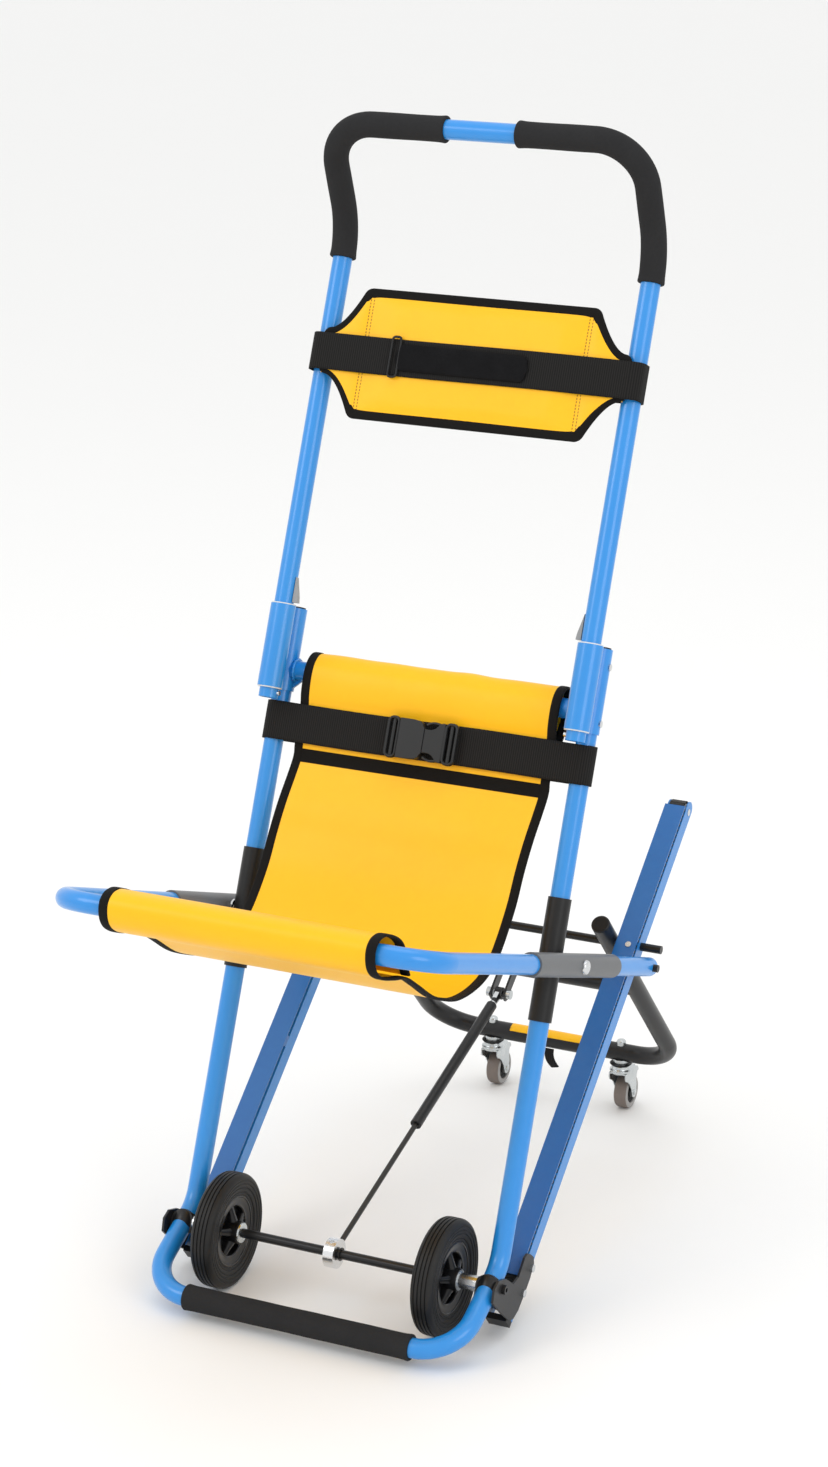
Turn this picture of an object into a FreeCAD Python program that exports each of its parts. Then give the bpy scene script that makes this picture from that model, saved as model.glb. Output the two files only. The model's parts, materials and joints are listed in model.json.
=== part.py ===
# Folding evacuation stair chair, in millimetres, +Z up.
# The sitter faces -Y and the origin is on the floor, at the middle of the chair's footprint.
# The rail frame (tracks, axle, brackets) is the base that the other assemblies hinge on.
import FreeCAD, Part
import math
import os
from FreeCAD import Vector, Placement, Rotation

# driving dimensions
tube_d = 25.4                # steel tube of the frames
tube_wall = 1.5
frame_x = 215.0              # half spacing of the main, handle and rail centre lines
running = 0.05               # radial play of a running fit
skin_gap = 0.4               # play between a soft part and its neighbour

wheel_d = 150.0
wheel_x = 153.8
axle_z = wheel_d / 2
axle_d = 12.0

main_lean = 22.66            # main tubes from vertical
main_setback = 20.9          # main tube line behind the axle
main_top = 802.0             # along the main tube, from the axle
foot_pitch = 25.7            # foot loop below horizontal
foot_reach = 113.0           # axle to foot bar
foot_corner = 58.0
kink_radius = 52.0
foot_foam_half = 157.0

guide_low = 696.0            # guide sleeves along the main tube
guide_high = 804.0
handle_setback = -16.6       # handle tube line behind the axle
handle_low = 682.0
handle_kink = 1303.0
handle_lean = -20.0          # grip part from vertical
grip_rise = 152.0
grip_corner = 62.0
grip_d = 33.0
grip_low = 1262.0
grip_gap_half = 49.0

seat_pitch = 20.18           # seat bars below horizontal, to the rear
seat_x = 248.0
seat_at = 408.0              # seat bolt along the main tube
seat_front = 456.0
seat_tail = 272.0
seat_corner = 60.0
cloth_half = 187.0

rail_lean = 50.3             # rails from vertical
rail_setback = 43.8          # front face of the rail covers behind the axle
rail_width = 28.5
rail_low = -12.0
rail_high = 762.0
cover_high = 745.0
cover_thick = 2.5
box_front = 8.3              # rail box behind the cover's front face
box_depth = 21.4
box_wall = 1.6
belt_width = 20.0
belt_thick = 4.0
pulley_r = 11.0
low_pulley_at = 12.0
high_pulley_at = 747.0

rod_at = 534.0               # carriage rod along the rail
rod_d = 11.0
rod_half = 258.0
leg_x = 185.0
leg_cap_up = 52.0
carriage_lean = -43.5
carriage_drop = 379.0        # rod to caster bar
carriage_corner = 62.0
cross_drop = 136.0
caster_x = 100.0
caster_d = 50.0
caster_trail = 21.0

strut_rise = 18.1            # gas strut above horizontal
strut_length = 534.0
strut_rod_end = 262.0

# places worked out from the driving dimensions
cos_rail = math.cos(math.radians(rail_lean))
sin_rail = math.sin(math.radians(rail_lean))
rod_back = rail_setback + box_front + box_depth / 2
rod_y = rod_at * sin_rail + rod_back * cos_rail
rod_z = axle_z + rod_at * cos_rail - rod_back * sin_rail
caster_y = rod_y + carriage_drop * math.sin(math.radians(-carriage_lean))
bar_z = rod_z - carriage_drop * math.cos(math.radians(carriage_lean))
sin_main = math.sin(math.radians(main_lean))
cos_main = math.cos(math.radians(main_lean))
seat_y = seat_at * sin_main + main_setback * cos_main
seat_z = axle_z + seat_at * cos_main - main_setback * sin_main
front_roll_r = 18.0
front_y = seat_y - seat_front * math.cos(math.radians(seat_pitch))
depth_low = front_y - front_roll_r
depth_high = caster_y + caster_trail + caster_d / 2
axle_y = -(depth_low + depth_high) / 2   # axle in the row frame


def frame_at(y, z, lean):
    """Frame whose local Z leans back by lean degrees and whose local Y points behind it."""
    return Placement(Vector(0, axle_y + y, z), Rotation(Vector(1, 0, 0), -lean))


main = frame_at(0, axle_z, main_lean)
rail = frame_at(0, axle_z, rail_lean)
seat = frame_at(seat_y, seat_z, seat_pitch)
carriage = frame_at(rod_y, rod_z, carriage_lean)
strut = frame_at(0, axle_z, 90 - strut_rise)
upright = frame_at(0, 0, 0)
parts = {}


def add(name, shapes, frame=upright):
    """Keep a node: one solid, or several alike, moved from its own frame to the chair's."""
    group = shapes if isinstance(shapes, list) else [shapes]
    placed = []
    for shape in group:
        moved = shape.copy()
        moved.Placement = frame.multiply(moved.Placement)
        placed.append(moved)
    parts[name] = placed


def box(x0, y0, z0, x1, y1, z1):
    return Part.makeBox(x1 - x0, y1 - y0, z1 - z0, Vector(x0, y0, z0))


def rod(start, end, diameter, bore=0):
    """Round bar or tube between two points."""
    a, b = Vector(*start), Vector(*end)
    bar = Part.makeCylinder(diameter / 2, (b - a).Length, a, b - a)
    if bore:
        bar = bar.cut(Part.makeCylinder(bore / 2, (b - a).Length, a, b - a))
    return bar


def across(x0, x1, y, z, diameter, bore=0):
    """Round bar or tube along X."""
    return rod((x0, y, z), (x1, y, z), diameter, bore)


def bent_path(points, radius):
    """Straight runs joined by tangent arcs; radius is one number or one for each inner point."""
    pts = [Vector(*p) for p in points]
    radii = radius if isinstance(radius, list) else [radius] * (len(pts) - 2)
    edges = []
    last = pts[0]
    for index in range(1, len(pts) - 1):
        into = (pts[index] - pts[index - 1]).normalize()
        out = (pts[index + 1] - pts[index]).normalize()
        turn = into.getAngle(out)
        reach = radii[index - 1] * math.tan(turn / 2)
        start = pts[index] - into * reach
        end = pts[index] + out * reach
        inward = (out - into).normalize()
        middle = pts[index] + inward * radii[index - 1] * (1 / math.cos(turn / 2) - 1)
        if (start - last).Length > 0.01:
            edges.append(Part.LineSegment(last, start).toShape())
        edges.append(Part.Arc(start, middle, end).toShape())
        last = end
    edges.append(Part.LineSegment(last, pts[-1]).toShape())
    return Part.Wire(edges)


def swept(path, points, radius):
    start, following = Vector(*points[0]), Vector(*points[1])
    ring = Part.Wire(Part.makeCircle(radius, start, following - start))
    return path.makePipeShell([ring], True, True)


def bent_tube(points, bend, diameter, bore=0):
    """Tube along straight runs and arcs."""
    path = bent_path(points, bend)
    solid = swept(path, points, diameter / 2)
    if bore:
        solid = solid.cut(swept(path, points, bore / 2))
    return solid


def plate(outline, low, high, axis="x"):
    """Flat plate of an outline, thick along X (outline in Y, Z) or Y (outline in X, Z)."""
    if axis == "x":
        ring = [Vector(low, a, b) for a, b in outline]
        push = Vector(high - low, 0, 0)
    else:
        ring = [Vector(a, low, b) for a, b in outline]
        push = Vector(0, high - low, 0)
    return Part.Face(Part.makePolygon(ring + ring[:1])).extrude(push)


def round_loop(half_x, y0, y1, corner, thick, z0, z1):
    """Band that runs round in the local XY plane, with the given inner size."""
    def slab(grow):
        outer = box(-half_x - grow, y0 - grow, z0, half_x + grow, y1 + grow, z1)
        edges = [e for e in outer.Edges if abs(e.tangentAt(e.FirstParameter).z) > 0.9]
        return outer.makeFillet(corner + grow, edges)
    return slab(thick).cut(slab(0))


def both(build):
    """The left and right one of a pair, as build(-1) and build(1)."""
    return [build(-1), build(1)]


# main frame
kink_s = 28.3 * sin_main + (87.6 - 74.0) * cos_main
foot_cos = math.cos(math.radians(foot_pitch))
foot_sin = math.sin(math.radians(foot_pitch))


def main_local(y, z):
    """A point of the chair's side view, from the axle, in the main tube's frame."""
    return (y * cos_main - z * sin_main, y * sin_main + z * cos_main)


foot_p, foot_s = main_local(-foot_reach * foot_cos, -foot_reach * foot_sin)
main_points = [
    (-frame_x, main_setback, main_top),
    (-frame_x, main_setback, kink_s),
    (-frame_x, foot_p, foot_s),
    (frame_x, foot_p, foot_s),
    (frame_x, main_setback, kink_s),
    (frame_x, main_setback, main_top),
]
axle_hole = across(-240, 240, 0, 0, axle_d + 2 * running)
seat_bolt_d = 8.0
seat_hole = across(-240, 240, main_setback, seat_at, seat_bolt_d + 2 * running)
main_tube = bent_tube(main_points, [kink_radius, foot_corner, foot_corner, kink_radius],
                      tube_d, tube_d - 2 * tube_wall)
add("main_frame_tube", main_tube.cut(axle_hole).cut(seat_hole), main)

add("foot_bar_foam",
    across(-foot_foam_half, foot_foam_half, foot_p, foot_s, 32.0, tube_d + 2 * running), main)

# saddles that hold the main tube on the axle
saddle_in = tube_d / 2 + 0.15
saddle_out = saddle_in + 2.2
saddle_frame = frame_at(0, axle_z, -(90 - foot_pitch))


def saddle(side):
    x = side * frame_x
    cap = rod((x, 0, -9), (x, 0, 9), 2 * saddle_out, 2 * saddle_in)
    cap = cap.cut(box(x - 20, -20, -10, x + 20, 0, 10))
    ears = [box(x - saddle_out, -14, -9, x - saddle_in, 0, 9),
            box(x + saddle_in, -14, -9, x + saddle_out, 0, 9)]
    return cap.fuse(ears).cut(across(-240, 240, 0, 0, axle_d + 2 * running)).removeSplitter()


add("tube_saddles", both(saddle), saddle_frame)

# guide sleeves, sockets and back crossbar, welded into one yoke
sleeve_d = 33.0
bush_d = 29.0
socket_d = 30.0
crossbar_s = 724.0
crossbar_back = 22.0


def guide(side):
    x = side * frame_x
    sleeve = rod((x, handle_setback, guide_low), (x, handle_setback, guide_high), sleeve_d)
    socket = rod((x, main_setback, guide_low), (x, main_setback, guide_high), socket_d)
    web = box(x - 6, handle_setback, guide_low + 6, x + 6, main_setback, guide_high - 6)
    return sleeve.fuse([socket, web])


gusset = [(-frame_x + 12, crossbar_s - 26), (-frame_x + 12, crossbar_s), (-frame_x + 40, crossbar_s)]
gusset_right = [(-x, z) for x, z in gusset]
yoke = guide(-1).fuse([guide(1), across(-frame_x, frame_x, crossbar_back, crossbar_s,
                                        tube_d, tube_d - 2 * tube_wall)])
yoke = yoke.fuse([plate(gusset, crossbar_back - 2, crossbar_back + 2, "y"),
                  plate(gusset_right, crossbar_back - 2, crossbar_back + 2, "y")])
for side in (-1, 1):
    x = side * frame_x
    yoke = yoke.cut(rod((x, handle_setback, 600), (x, handle_setback, 900), bush_d))
    yoke = yoke.cut(rod((x, main_setback, 600), (x, main_setback, 900), tube_d + 2 * running))
add("back_yoke", yoke.removeSplitter(), main)

bush_length = 22.0
bush_lip = 1.5
bushes = []
for side in (-1, 1):
    x = side * frame_x
    for end, inward in ((guide_low, 1), (guide_high, -1)):
        body = rod((x, handle_setback, end), (x, handle_setback, end + inward * bush_length),
                   bush_d, tube_d + 2 * running)
        lip = rod((x, handle_setback, end), (x, handle_setback, end - inward * bush_lip),
                  sleeve_d - 1, tube_d + 2 * running)
        bushes.append(body.fuse(lip).removeSplitter())
add("guide_bushes", bushes, main)

add("socket_caps", both(lambda side: rod((side * frame_x, main_setback, main_top),
                                         (side * frame_x, main_setback, guide_high + 2), tube_d)), main)

rivet_d = 9.0


def rivet(side, along):
    x = side * (frame_x + socket_d / 2)
    return across(x - side * 1.0, x + side * 1.6, main_setback, along, rivet_d)


socket_side = both(lambda side: rod((side * frame_x, main_setback, guide_low),
                                    (side * frame_x, main_setback, guide_high), socket_d))
rivets = [rivet(side, along).cut(socket_side[index]) for index, side in enumerate((-1, 1))
          for along in (guide_low + 14, guide_high - 22)]
add("guide_rivets", rivets, main)

wear_low = 332.0
wear_high = 488.0
wear_d = 30.0


def wear_sleeve(side):
    x = side * frame_x
    return rod((x, main_setback, wear_low), (x, main_setback, wear_high),
               wear_d, tube_d + 2 * running).cut(seat_hole)


add("wear_sleeves", both(wear_sleeve), main)

# waist belt and its side-release buckle
belt_low = 632.0
belt_high = 680.0
web_thick = 2.4
belt_inner = tube_d / 2 + skin_gap
add("waist_belt",
    round_loop(frame_x + belt_inner, main_setback - belt_inner, main_setback + belt_inner,
               belt_inner - 0.2, web_thick, belt_low, belt_high), main)

buckle_face = main_setback - belt_inner - web_thick - skin_gap
buckle_thick = 12.0
buckle_mid = (belt_low + belt_high) / 2
socket = box(-46, buckle_face - buckle_thick, belt_low - 3, 6, buckle_face, belt_high + 3)
socket = socket.cut(box(-12, buckle_face - 9.5, belt_low + 2, 7, buckle_face - 2.5, belt_high - 2))
add("buckle_socket", socket, main)
add("buckle_plug", [box(6.3, buckle_face - buckle_thick, belt_low + 1, 44, buckle_face, belt_high - 1)
                    .cut(box(5, buckle_face - 9, belt_high - 7, 30, buckle_face - 3, belt_high))
                    .cut(box(5, buckle_face - 9, belt_low, 30, buckle_face - 3, belt_low + 7))], main)
tab_travel = 3.0


def tab(high):
    z0, z1 = (belt_high - 3.5, belt_high + 1) if high else (belt_low - 1, belt_low + 3.5)
    return box(9, buckle_face - 8.7, z0, 28, buckle_face - 3.3, z1)


add("buckle_tab_upper", tab(True), main)
add("buckle_tab_lower", tab(False), main)

# spring catches above the guide sleeves
catch_low = guide_high + bush_lip + 2.4


def catch(side):
    x = side * (frame_x - tube_d / 2 - 0.4)
    outline = [(x, catch_low), (x - side * 7, catch_low), (x - side * 6, catch_low + 8), (x, catch_low + 33)]
    return plate(outline, handle_setback - 4, handle_setback + 4, "y")


add("catch_left", catch(-1), main)
add("catch_right", catch(1), main)

# handle
bend = math.radians(main_lean - handle_lean)
grip_top = (handle_setback - grip_rise * math.sin(bend), handle_kink + grip_rise * math.cos(bend))


def handle_points(low, stop=None):
    """Handle centre line from the right leg to the top bar, up to stop, or to the left leg."""
    line = [(frame_x, handle_setback, low), (frame_x, handle_setback, handle_kink),
            (frame_x, grip_top[0], grip_top[1])]
    if stop is not None:
        return line + [(stop, grip_top[0], grip_top[1])]
    return line + [(-x, p, s) for x, p, s in reversed(line)]


handle_kink_r = 100.0
full_bends = [handle_kink_r, grip_corner, grip_corner, handle_kink_r]
add("handle_tube", bent_tube(handle_points(handle_low), full_bends, tube_d, tube_d - 2 * tube_wall), main)
grip = bent_tube(handle_points(grip_low, grip_gap_half), [handle_kink_r, grip_corner],
                 grip_d, tube_d + 2 * running)
add("grip_right", grip, main)
add("grip_left", grip.mirror(Vector(0, 0, 0), Vector(1, 0, 0)), main)

pin_d = 6.0
handle_skin = both(lambda side: rod((side * frame_x, handle_setback, 600),
                                    (side * frame_x, handle_setback, 720), tube_d))
add("stop_pins", [across(side * (frame_x - tube_d / 2 - 3), side * (frame_x - 8),
                         handle_setback, handle_low + 7, pin_d).cut(handle_skin[index])
                  for index, side in enumerate((-1, 1))], main)

# head pad in front of the handle tubes, and the strap round both
pad_front = handle_setback - tube_d / 2 - skin_gap
pad_thick = 8.0
pad_low = 1052.0
pad_high = 1222.0
wing_low = 1104.0
wing_high = 1166.0
pad_half = 168.0
wing_half = 214.0


def pad_outline():
    """Right half of the pad's outline with the concave shoulders, then the left half mirrored."""
    count = 6
    upper = []
    lower = []
    for step in range(count + 1):
        turn = math.radians(90 * step / count)
        reach = wing_half - 20 - pad_half
        upper.append((pad_half + reach * (1 - math.cos(turn)),
                      pad_high - (pad_high - wing_high) * math.sin(turn)))
        lower.append((pad_half + reach * (1 - math.cos(turn)),
                      pad_low + (wing_low - pad_low) * math.sin(turn)))
    right = upper + [(wing_half, wing_high), (wing_half, wing_low)] + lower[::-1]
    return right + [(-x, z) for x, z in reversed(right)]


add("head_pad", plate(pad_outline(), pad_front - pad_thick, pad_front, "y"), main)
strap_back = handle_setback + tube_d / 2 + skin_gap
add("head_strap",
    round_loop(frame_x + 13.4, pad_front - pad_thick - skin_gap, strap_back, 12.0, web_thick,
               1111.0, 1159.0), main)

# hammock: back part hangs from the crossbar, seat part from the front bar, each by a sewn pocket
cloth = 3.0
pocket_wall = 2.4
crossbar_y = crossbar_s * sin_main + crossbar_back * cos_main
crossbar_z = axle_z + crossbar_s * cos_main - crossbar_back * sin_main
front_z = seat_z + seat_front * math.sin(math.radians(seat_pitch))


def outline_solid(points, half):
    """Solid of a side-view outline (y from the axle, z), from -half to +half across."""
    ring = [Vector(-half, axle_y + y, z) for y, z in points]
    return Part.Face(Part.makePolygon(ring + ring[:1])).extrude(Vector(2 * half, 0, 0))


def shrunk(points, wall):
    """Side-view outline moved inwards by wall; the points run clockwise."""
    inner = []
    count = len(points)
    for index, (y, z) in enumerate(points):
        y0, z0 = points[index - 1]
        y1, z1 = points[(index + 1) % count]
        run = math.hypot(y1 - y0, z1 - z0)
        inner.append((y + (z1 - z0) / run * wall, z - (y1 - y0) / run * wall))
    return inner


def pocket(points, room):
    """Sewn pocket open at both ends; room is the part of the outline that its inner space follows."""
    return outline_solid(points, cloth_half).cut(outline_solid(shrunk(room, pocket_wall), cloth_half + 1))


def cloth_strip(points, thick):
    """Closed strip that follows a side-view line, thick on its upper or front side."""
    upper = []
    for index, (y, z) in enumerate(points):
        y0, z0 = points[max(index - 1, 0)]
        y1, z1 = points[min(index + 1, len(points) - 1)]
        run = math.hypot(y1 - y0, z1 - z0)
        upper.append((y + (z1 - z0) / run * thick, z - (y1 - y0) / run * thick))
    return outline_solid(points + upper[::-1], cloth_half)


def main_side(points):
    """Side-view points given along and behind the main tube line, as y and z from the axle."""
    return [(s * sin_main + p * cos_main, axle_z + s * cos_main - p * sin_main) for p, s in points]


back_pocket_points = main_side([
    (13, 632), (10.8, 645), (9.4, 668), (8.8, 682), (5.2, 694), (3.2, 710), (3.6, 724), (7, 736), (15, 746),
    (26, 750), (37, 747), (44, 738), (46, 724), (44, 708), (39, 696), (32, 683), (27, 668), (23, 650), (18, 636)])
back_line = [(260.5, 660), (240, 633), (213, 584), (192, 548), (155, 503), (131, 483)]
seat_pocket_points = [
    (-189, 549), (-216, 556), (-243, 567), (-258, 576), (-266, 585), (-269.5, 595), (-269.3, 606), (-265, 614),
    (-256, 619), (-245, 619.5), (-234, 617), (-211, 606), (-196, 593), (-189, 580)]
seat_line = [(129, 481), (103, 466), (60, 455), (15, 456), (-34, 464), (-73, 478), (-112, 497), (-154, 526),
             (-192, 552)]
back_pocket = pocket(back_pocket_points, back_pocket_points[1:-1])
seat_pocket = pocket(seat_pocket_points, seat_pocket_points)
parts["hammock_back"] = [back_pocket.fuse(cloth_strip(back_line, cloth)).removeSplitter()]
parts["hammock_seat"] = [seat_pocket.fuse(cloth_strip(seat_line, cloth)).removeSplitter()]

# seat frame
seat_points = [(-seat_x, seat_tail, 0), (-seat_x, -seat_front, 0), (seat_x, -seat_front, 0),
               (seat_x, seat_tail, 0)]
seat_bore = across(-280, 280, 0, 0, seat_bolt_d + 2 * running)
tail_pin_d = 10.0
tail_pin_at = seat_tail - 14
tail_bore = across(-280, 280, tail_pin_at, 0, tail_pin_d + 2 * running)
seat_tube = bent_tube(seat_points, seat_corner, tube_d, tube_d - 2 * tube_wall)
add("seat_frame_tube", seat_tube.cut(seat_bore).cut(tail_bore), seat)

sleeve_front = -145.0
sleeve_rear = 129.0
seat_sleeve_d = 30.6


def seat_sleeve(side):
    x = side * seat_x
    return rod((x, sleeve_front, 0), (x, sleeve_rear, 0), seat_sleeve_d, tube_d + 2 * running).cut(seat_bore)


add("seat_sleeves", both(seat_sleeve), seat)

bolt_head_d = 18.0
bolt_in = frame_x - tube_d / 2 - 6
bolt_face = seat_x + seat_sleeve_d / 2


def seat_bolt(side):
    """Bolt with a domed head outside, a washer between the tubes and a nut inside."""
    shank = across(side * bolt_in, side * bolt_face, 0, 0, seat_bolt_d)
    head = across(side * bolt_face, side * (bolt_face + 4.5), 0, 0, bolt_head_d)
    outer_rim = [e for e in head.Edges if abs(e.BoundBox.Center.x - side * (bolt_face + 4.5)) < 0.01
                 and e.BoundBox.XLength < 0.01]
    head = head.makeFillet(3.4, outer_rim)
    washer = across(side * (frame_x + wear_d / 2 + 0.1), side * (seat_x - seat_sleeve_d / 2 - 0.1), 0, 0, 20.0)
    nut = across(side * bolt_in, side * (frame_x - wear_d / 2 - 0.1), 0, 0, 15.0)
    return shank.fuse([head, washer, nut]).removeSplitter()


add("seat_bolts", both(seat_bolt), seat)


def tail_pin(side):
    return across(side * (seat_x - tube_d / 2 - 3), side * (seat_x + tube_d / 2 + 6), tail_pin_at, 0, tail_pin_d)


add("tail_pins", both(tail_pin), seat)

# rails
box_y0 = rail_setback + box_front
box_y1 = box_y0 + box_depth
pulley_y = (box_y0 + box_y1) / 2


def rail_beam(side):
    """Box rail, open at both ends for the belt pulleys, rounded at the top end."""
    x = side * frame_x
    half = rail_width / 2
    outer = box(x - half, box_y0, rail_low, x + half, box_y1, rail_high)
    rims = [e for e in outer.Edges if abs(e.BoundBox.Center.z - rail_high) < 0.01 and e.BoundBox.XLength > 1]
    outer = outer.makeFillet(box_depth / 2 - 0.3, rims)
    inner = box(x - half + box_wall, box_y0 + box_wall, rail_low - 1,
                x + half - box_wall, box_y1 - box_wall, rail_high + 1)
    beam = outer.cut(inner)
    window = half - box_wall
    for low, high in ((rail_low - 1, low_pulley_at + 22), (high_pulley_at - 22, rail_high + 1)):
        beam = beam.cut(box(x - window, box_y0 - 1, low, x + window, box_y1 + 1, high))
    for z in (low_pulley_at, high_pulley_at):
        beam = beam.cut(across(x - half - 1, x + half + 1, pulley_y, z, 8.0 + 2 * running))
    beam = beam.cut(across(x - half - 1, x + half + 1, pulley_y, rod_at, rod_d + 2 * running))
    for z in (bracket_low_bolt, bracket_high_bolt):
        beam = beam.cut(across(x, x + side * 20, pulley_y, z, 6.0 + 2 * running))
    return beam


bracket_low_bolt = 25.0
bracket_high_bolt = 60.0
add("rail_left", rail_beam(-1), rail)
add("rail_right", rail_beam(1), rail)


def rail_cover(side):
    """Cover plate, held off the rail by tabs along its inboard edge so that the belt runs under it."""
    x = side * frame_x
    half = rail_width / 2
    face = box(x - half, rail_setback, 40, x + half, rail_setback + cover_thick, cover_high)
    inner = x - side * half
    tabs = []
    for z in (60, 290, rod_at - 8, 700):
        tabs.append(box(min(inner, inner + side * 3.6), rail_setback + cover_thick, z,
                        max(inner, inner + side * 3.6), box_y0, z + 16))
    return face.fuse(tabs).removeSplitter()


add("rail_covers", both(rail_cover), rail)


def cover_screw(side):
    head = rod((side * (frame_x + 4), rail_setback, rod_at - 10),
               (side * (frame_x + 4), rail_setback - 1.8, rod_at - 10), 8.0)
    return head


add("cover_screws", both(cover_screw), rail)


def track_belt(side):
    """Rubber track belt, a closed loop over both pulleys."""
    x = side * frame_x

    def stadium(radius):
        ends = [across(x - belt_width / 2, x + belt_width / 2, pulley_y, z, 2 * radius)
                for z in (low_pulley_at, high_pulley_at)]
        middle = box(x - belt_width / 2, pulley_y - radius, low_pulley_at,
                     x + belt_width / 2, pulley_y + radius, high_pulley_at)
        return middle.fuse(ends)
    return stadium(pulley_r + running + belt_thick).cut(stadium(pulley_r + running)).removeSplitter()


add("track_belts", both(track_belt), rail)


def pulley(side, z):
    x = side * frame_x
    return across(x - belt_width / 2 - 0.5, x + belt_width / 2 + 0.5, pulley_y, z,
                  2 * pulley_r, 8.0 + 2 * running)


add("lower_pulleys", both(lambda side: pulley(side, low_pulley_at)), rail)
add("upper_pulleys", both(lambda side: pulley(side, high_pulley_at)), rail)


def pulley_pin(side, z):
    x = side * frame_x
    half = rail_width / 2
    shank = across(x - half, x + half, pulley_y, z, 8.0)
    heads = [across(x - half - 0.8, x - half, pulley_y, z, 9.5),
             across(x + half, x + half + 0.8, pulley_y, z, 9.5)]
    return shank.fuse(heads).removeSplitter()


add("pulley_pins", [pulley_pin(side, z) for side in (-1, 1) for z in (low_pulley_at, high_pulley_at)], rail)


def rail_foot(side):
    """Black end block that closes the rail's side plates below the lower pulley."""
    x = side * frame_x
    half = rail_width / 2
    block = box(x - half, box_y0 + 1, rail_low - 8, x + half, box_y1 - 1, rail_low)
    return block


add("rail_feet", both(rail_foot), rail)

# rail brackets: flat plates from the axle to the rails
plate_in = frame_x + rail_width / 2 + 1.0
plate_out = plate_in + 3.0


def bracket(side):
    outline = [(-14, -26), (-24, -12), (-20, 2), (-1, 14), (12, 17), (27, 20), (36, 34), (34, 60), (38, 68), (48, 72),
               (60, 74), (68, 69), (72, 50), (72, 30), (70, 4), (64, -10), (56, -17), (46, -19), (20, -23)]
    x0, x1 = sorted((side * plate_in, side * plate_out))
    body = plate(outline, x0, x1)
    body = body.cut(across(side * 200, side * 250, 0, 0, axle_d + 2 * running))
    for z in (bracket_low_bolt, bracket_high_bolt):
        body = body.cut(across(side * 200, side * 250, pulley_y, z, 6.0 + 2 * running))
    return body


add("rail_brackets", both(bracket), rail)


def bracket_bolt(side, z):
    """Socket bolt through the bracket, with a spacer washer against the rail's side."""
    face = frame_x + rail_width / 2
    shank = across(side * (face - 3.3), side * plate_out, pulley_y, z, 6.0)
    head = across(side * plate_out, side * (plate_out + 4), pulley_y, z, 10.0)
    washer = across(side * face, side * plate_in, pulley_y, z, 12.0)
    return shank.fuse([head, washer]).removeSplitter()


add("bracket_bolts", [bracket_bolt(side, z) for side in (-1, 1)
                      for z in (bracket_low_bolt, bracket_high_bolt)], rail)

# axle, its screws and the spacers beside the wheels
hub_in = 131.0
hub_out = 175.0
add("axle", across(-plate_out, plate_out, 0, 0, axle_d), rail)
add("axle_screws", both(lambda side: across(side * plate_out, side * (plate_out + 5), 0, 0, 12.0)
                        .cut(across(side * (plate_out + 2), side * (plate_out + 6), 0, 0, 6.0))), rail)
saddle_side = frame_x - saddle_out
add("wheel_spacers", both(lambda side: across(side * (hub_out + 0.1), side * (saddle_side - 0.1), 0, 0,
                                              20.0, axle_d + 2 * running)), rail)

# carriage rod, spacers
add("carriage_rod", across(-rod_half, rod_half, pulley_y, rod_at, rod_d), rail)
add("rod_spacers", both(lambda side: across(side * (leg_x + tube_d / 2 + 0.3),
                                            side * (frame_x - rail_width / 2 - 0.2), pulley_y, rod_at,
                                            18.0, rod_d + 2 * running)), rail)


# front wheels
def ring_profile(points):
    """Ring turned about X from a half section of (x, radius) points."""
    ring = [Vector(x, 0, r) for x, r in points]
    face = Part.Face(Part.makePolygon(ring + ring[:1]))
    return face.revolve(Vector(0, 0, 0), Vector(1, 0, 0), 360)


rim_d = 104.0
bearing_d = 26.0


def tyre(side):
    x = side * wheel_x
    half = 15.0
    r0 = rim_d / 2
    r1 = wheel_d / 2
    tread = [(x - half, r0), (x + half, r0), (x + half, r1 - 9), (x + half - 3, r1 - 3), (x + half - 8, r1),
             (x - half + 8, r1), (x - half + 3, r1 - 3), (x - half, r1 - 9)]
    return ring_profile(tread)


def rim(side):
    """Rim with five spokes between the hub and the tyre seat."""
    x = side * wheel_x
    barrel = across(x - 14, x + 14, 0, 0, rim_d, rim_d - 16)
    hub = across(side * hub_in, side * hub_out, 0, 0, 36.0, bearing_d)
    spokes = []
    for index in range(5):
        arm = box(x - 8, -5, 15, x + 8, 5, rim_d / 2 - 4)
        arm.rotate(Vector(0, 0, 0), Vector(1, 0, 0), 72 * index)
        spokes.append(arm)
    web = across(x - 2, x + 2, 0, 0, rim_d - 10, bearing_d)
    hub_space = across(side * (hub_in - 1), side * (hub_out + 1), 0, 0, bearing_d)
    return barrel.fuse([hub, web] + spokes).cut(hub_space).removeSplitter()


def bearing(side):
    return [across(side * hub_in, side * (hub_in + 8), 0, 0, bearing_d, axle_d + 2 * running),
            across(side * (hub_out - 8), side * hub_out, 0, 0, bearing_d, axle_d + 2 * running)]


for side, word in ((-1, "left"), (1, "right")):
    add("tyre_" + word, tyre(side), rail)
    add("rim_" + word, rim(side), rail)
    add("bearings_" + word, bearing(side), rail)

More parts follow.
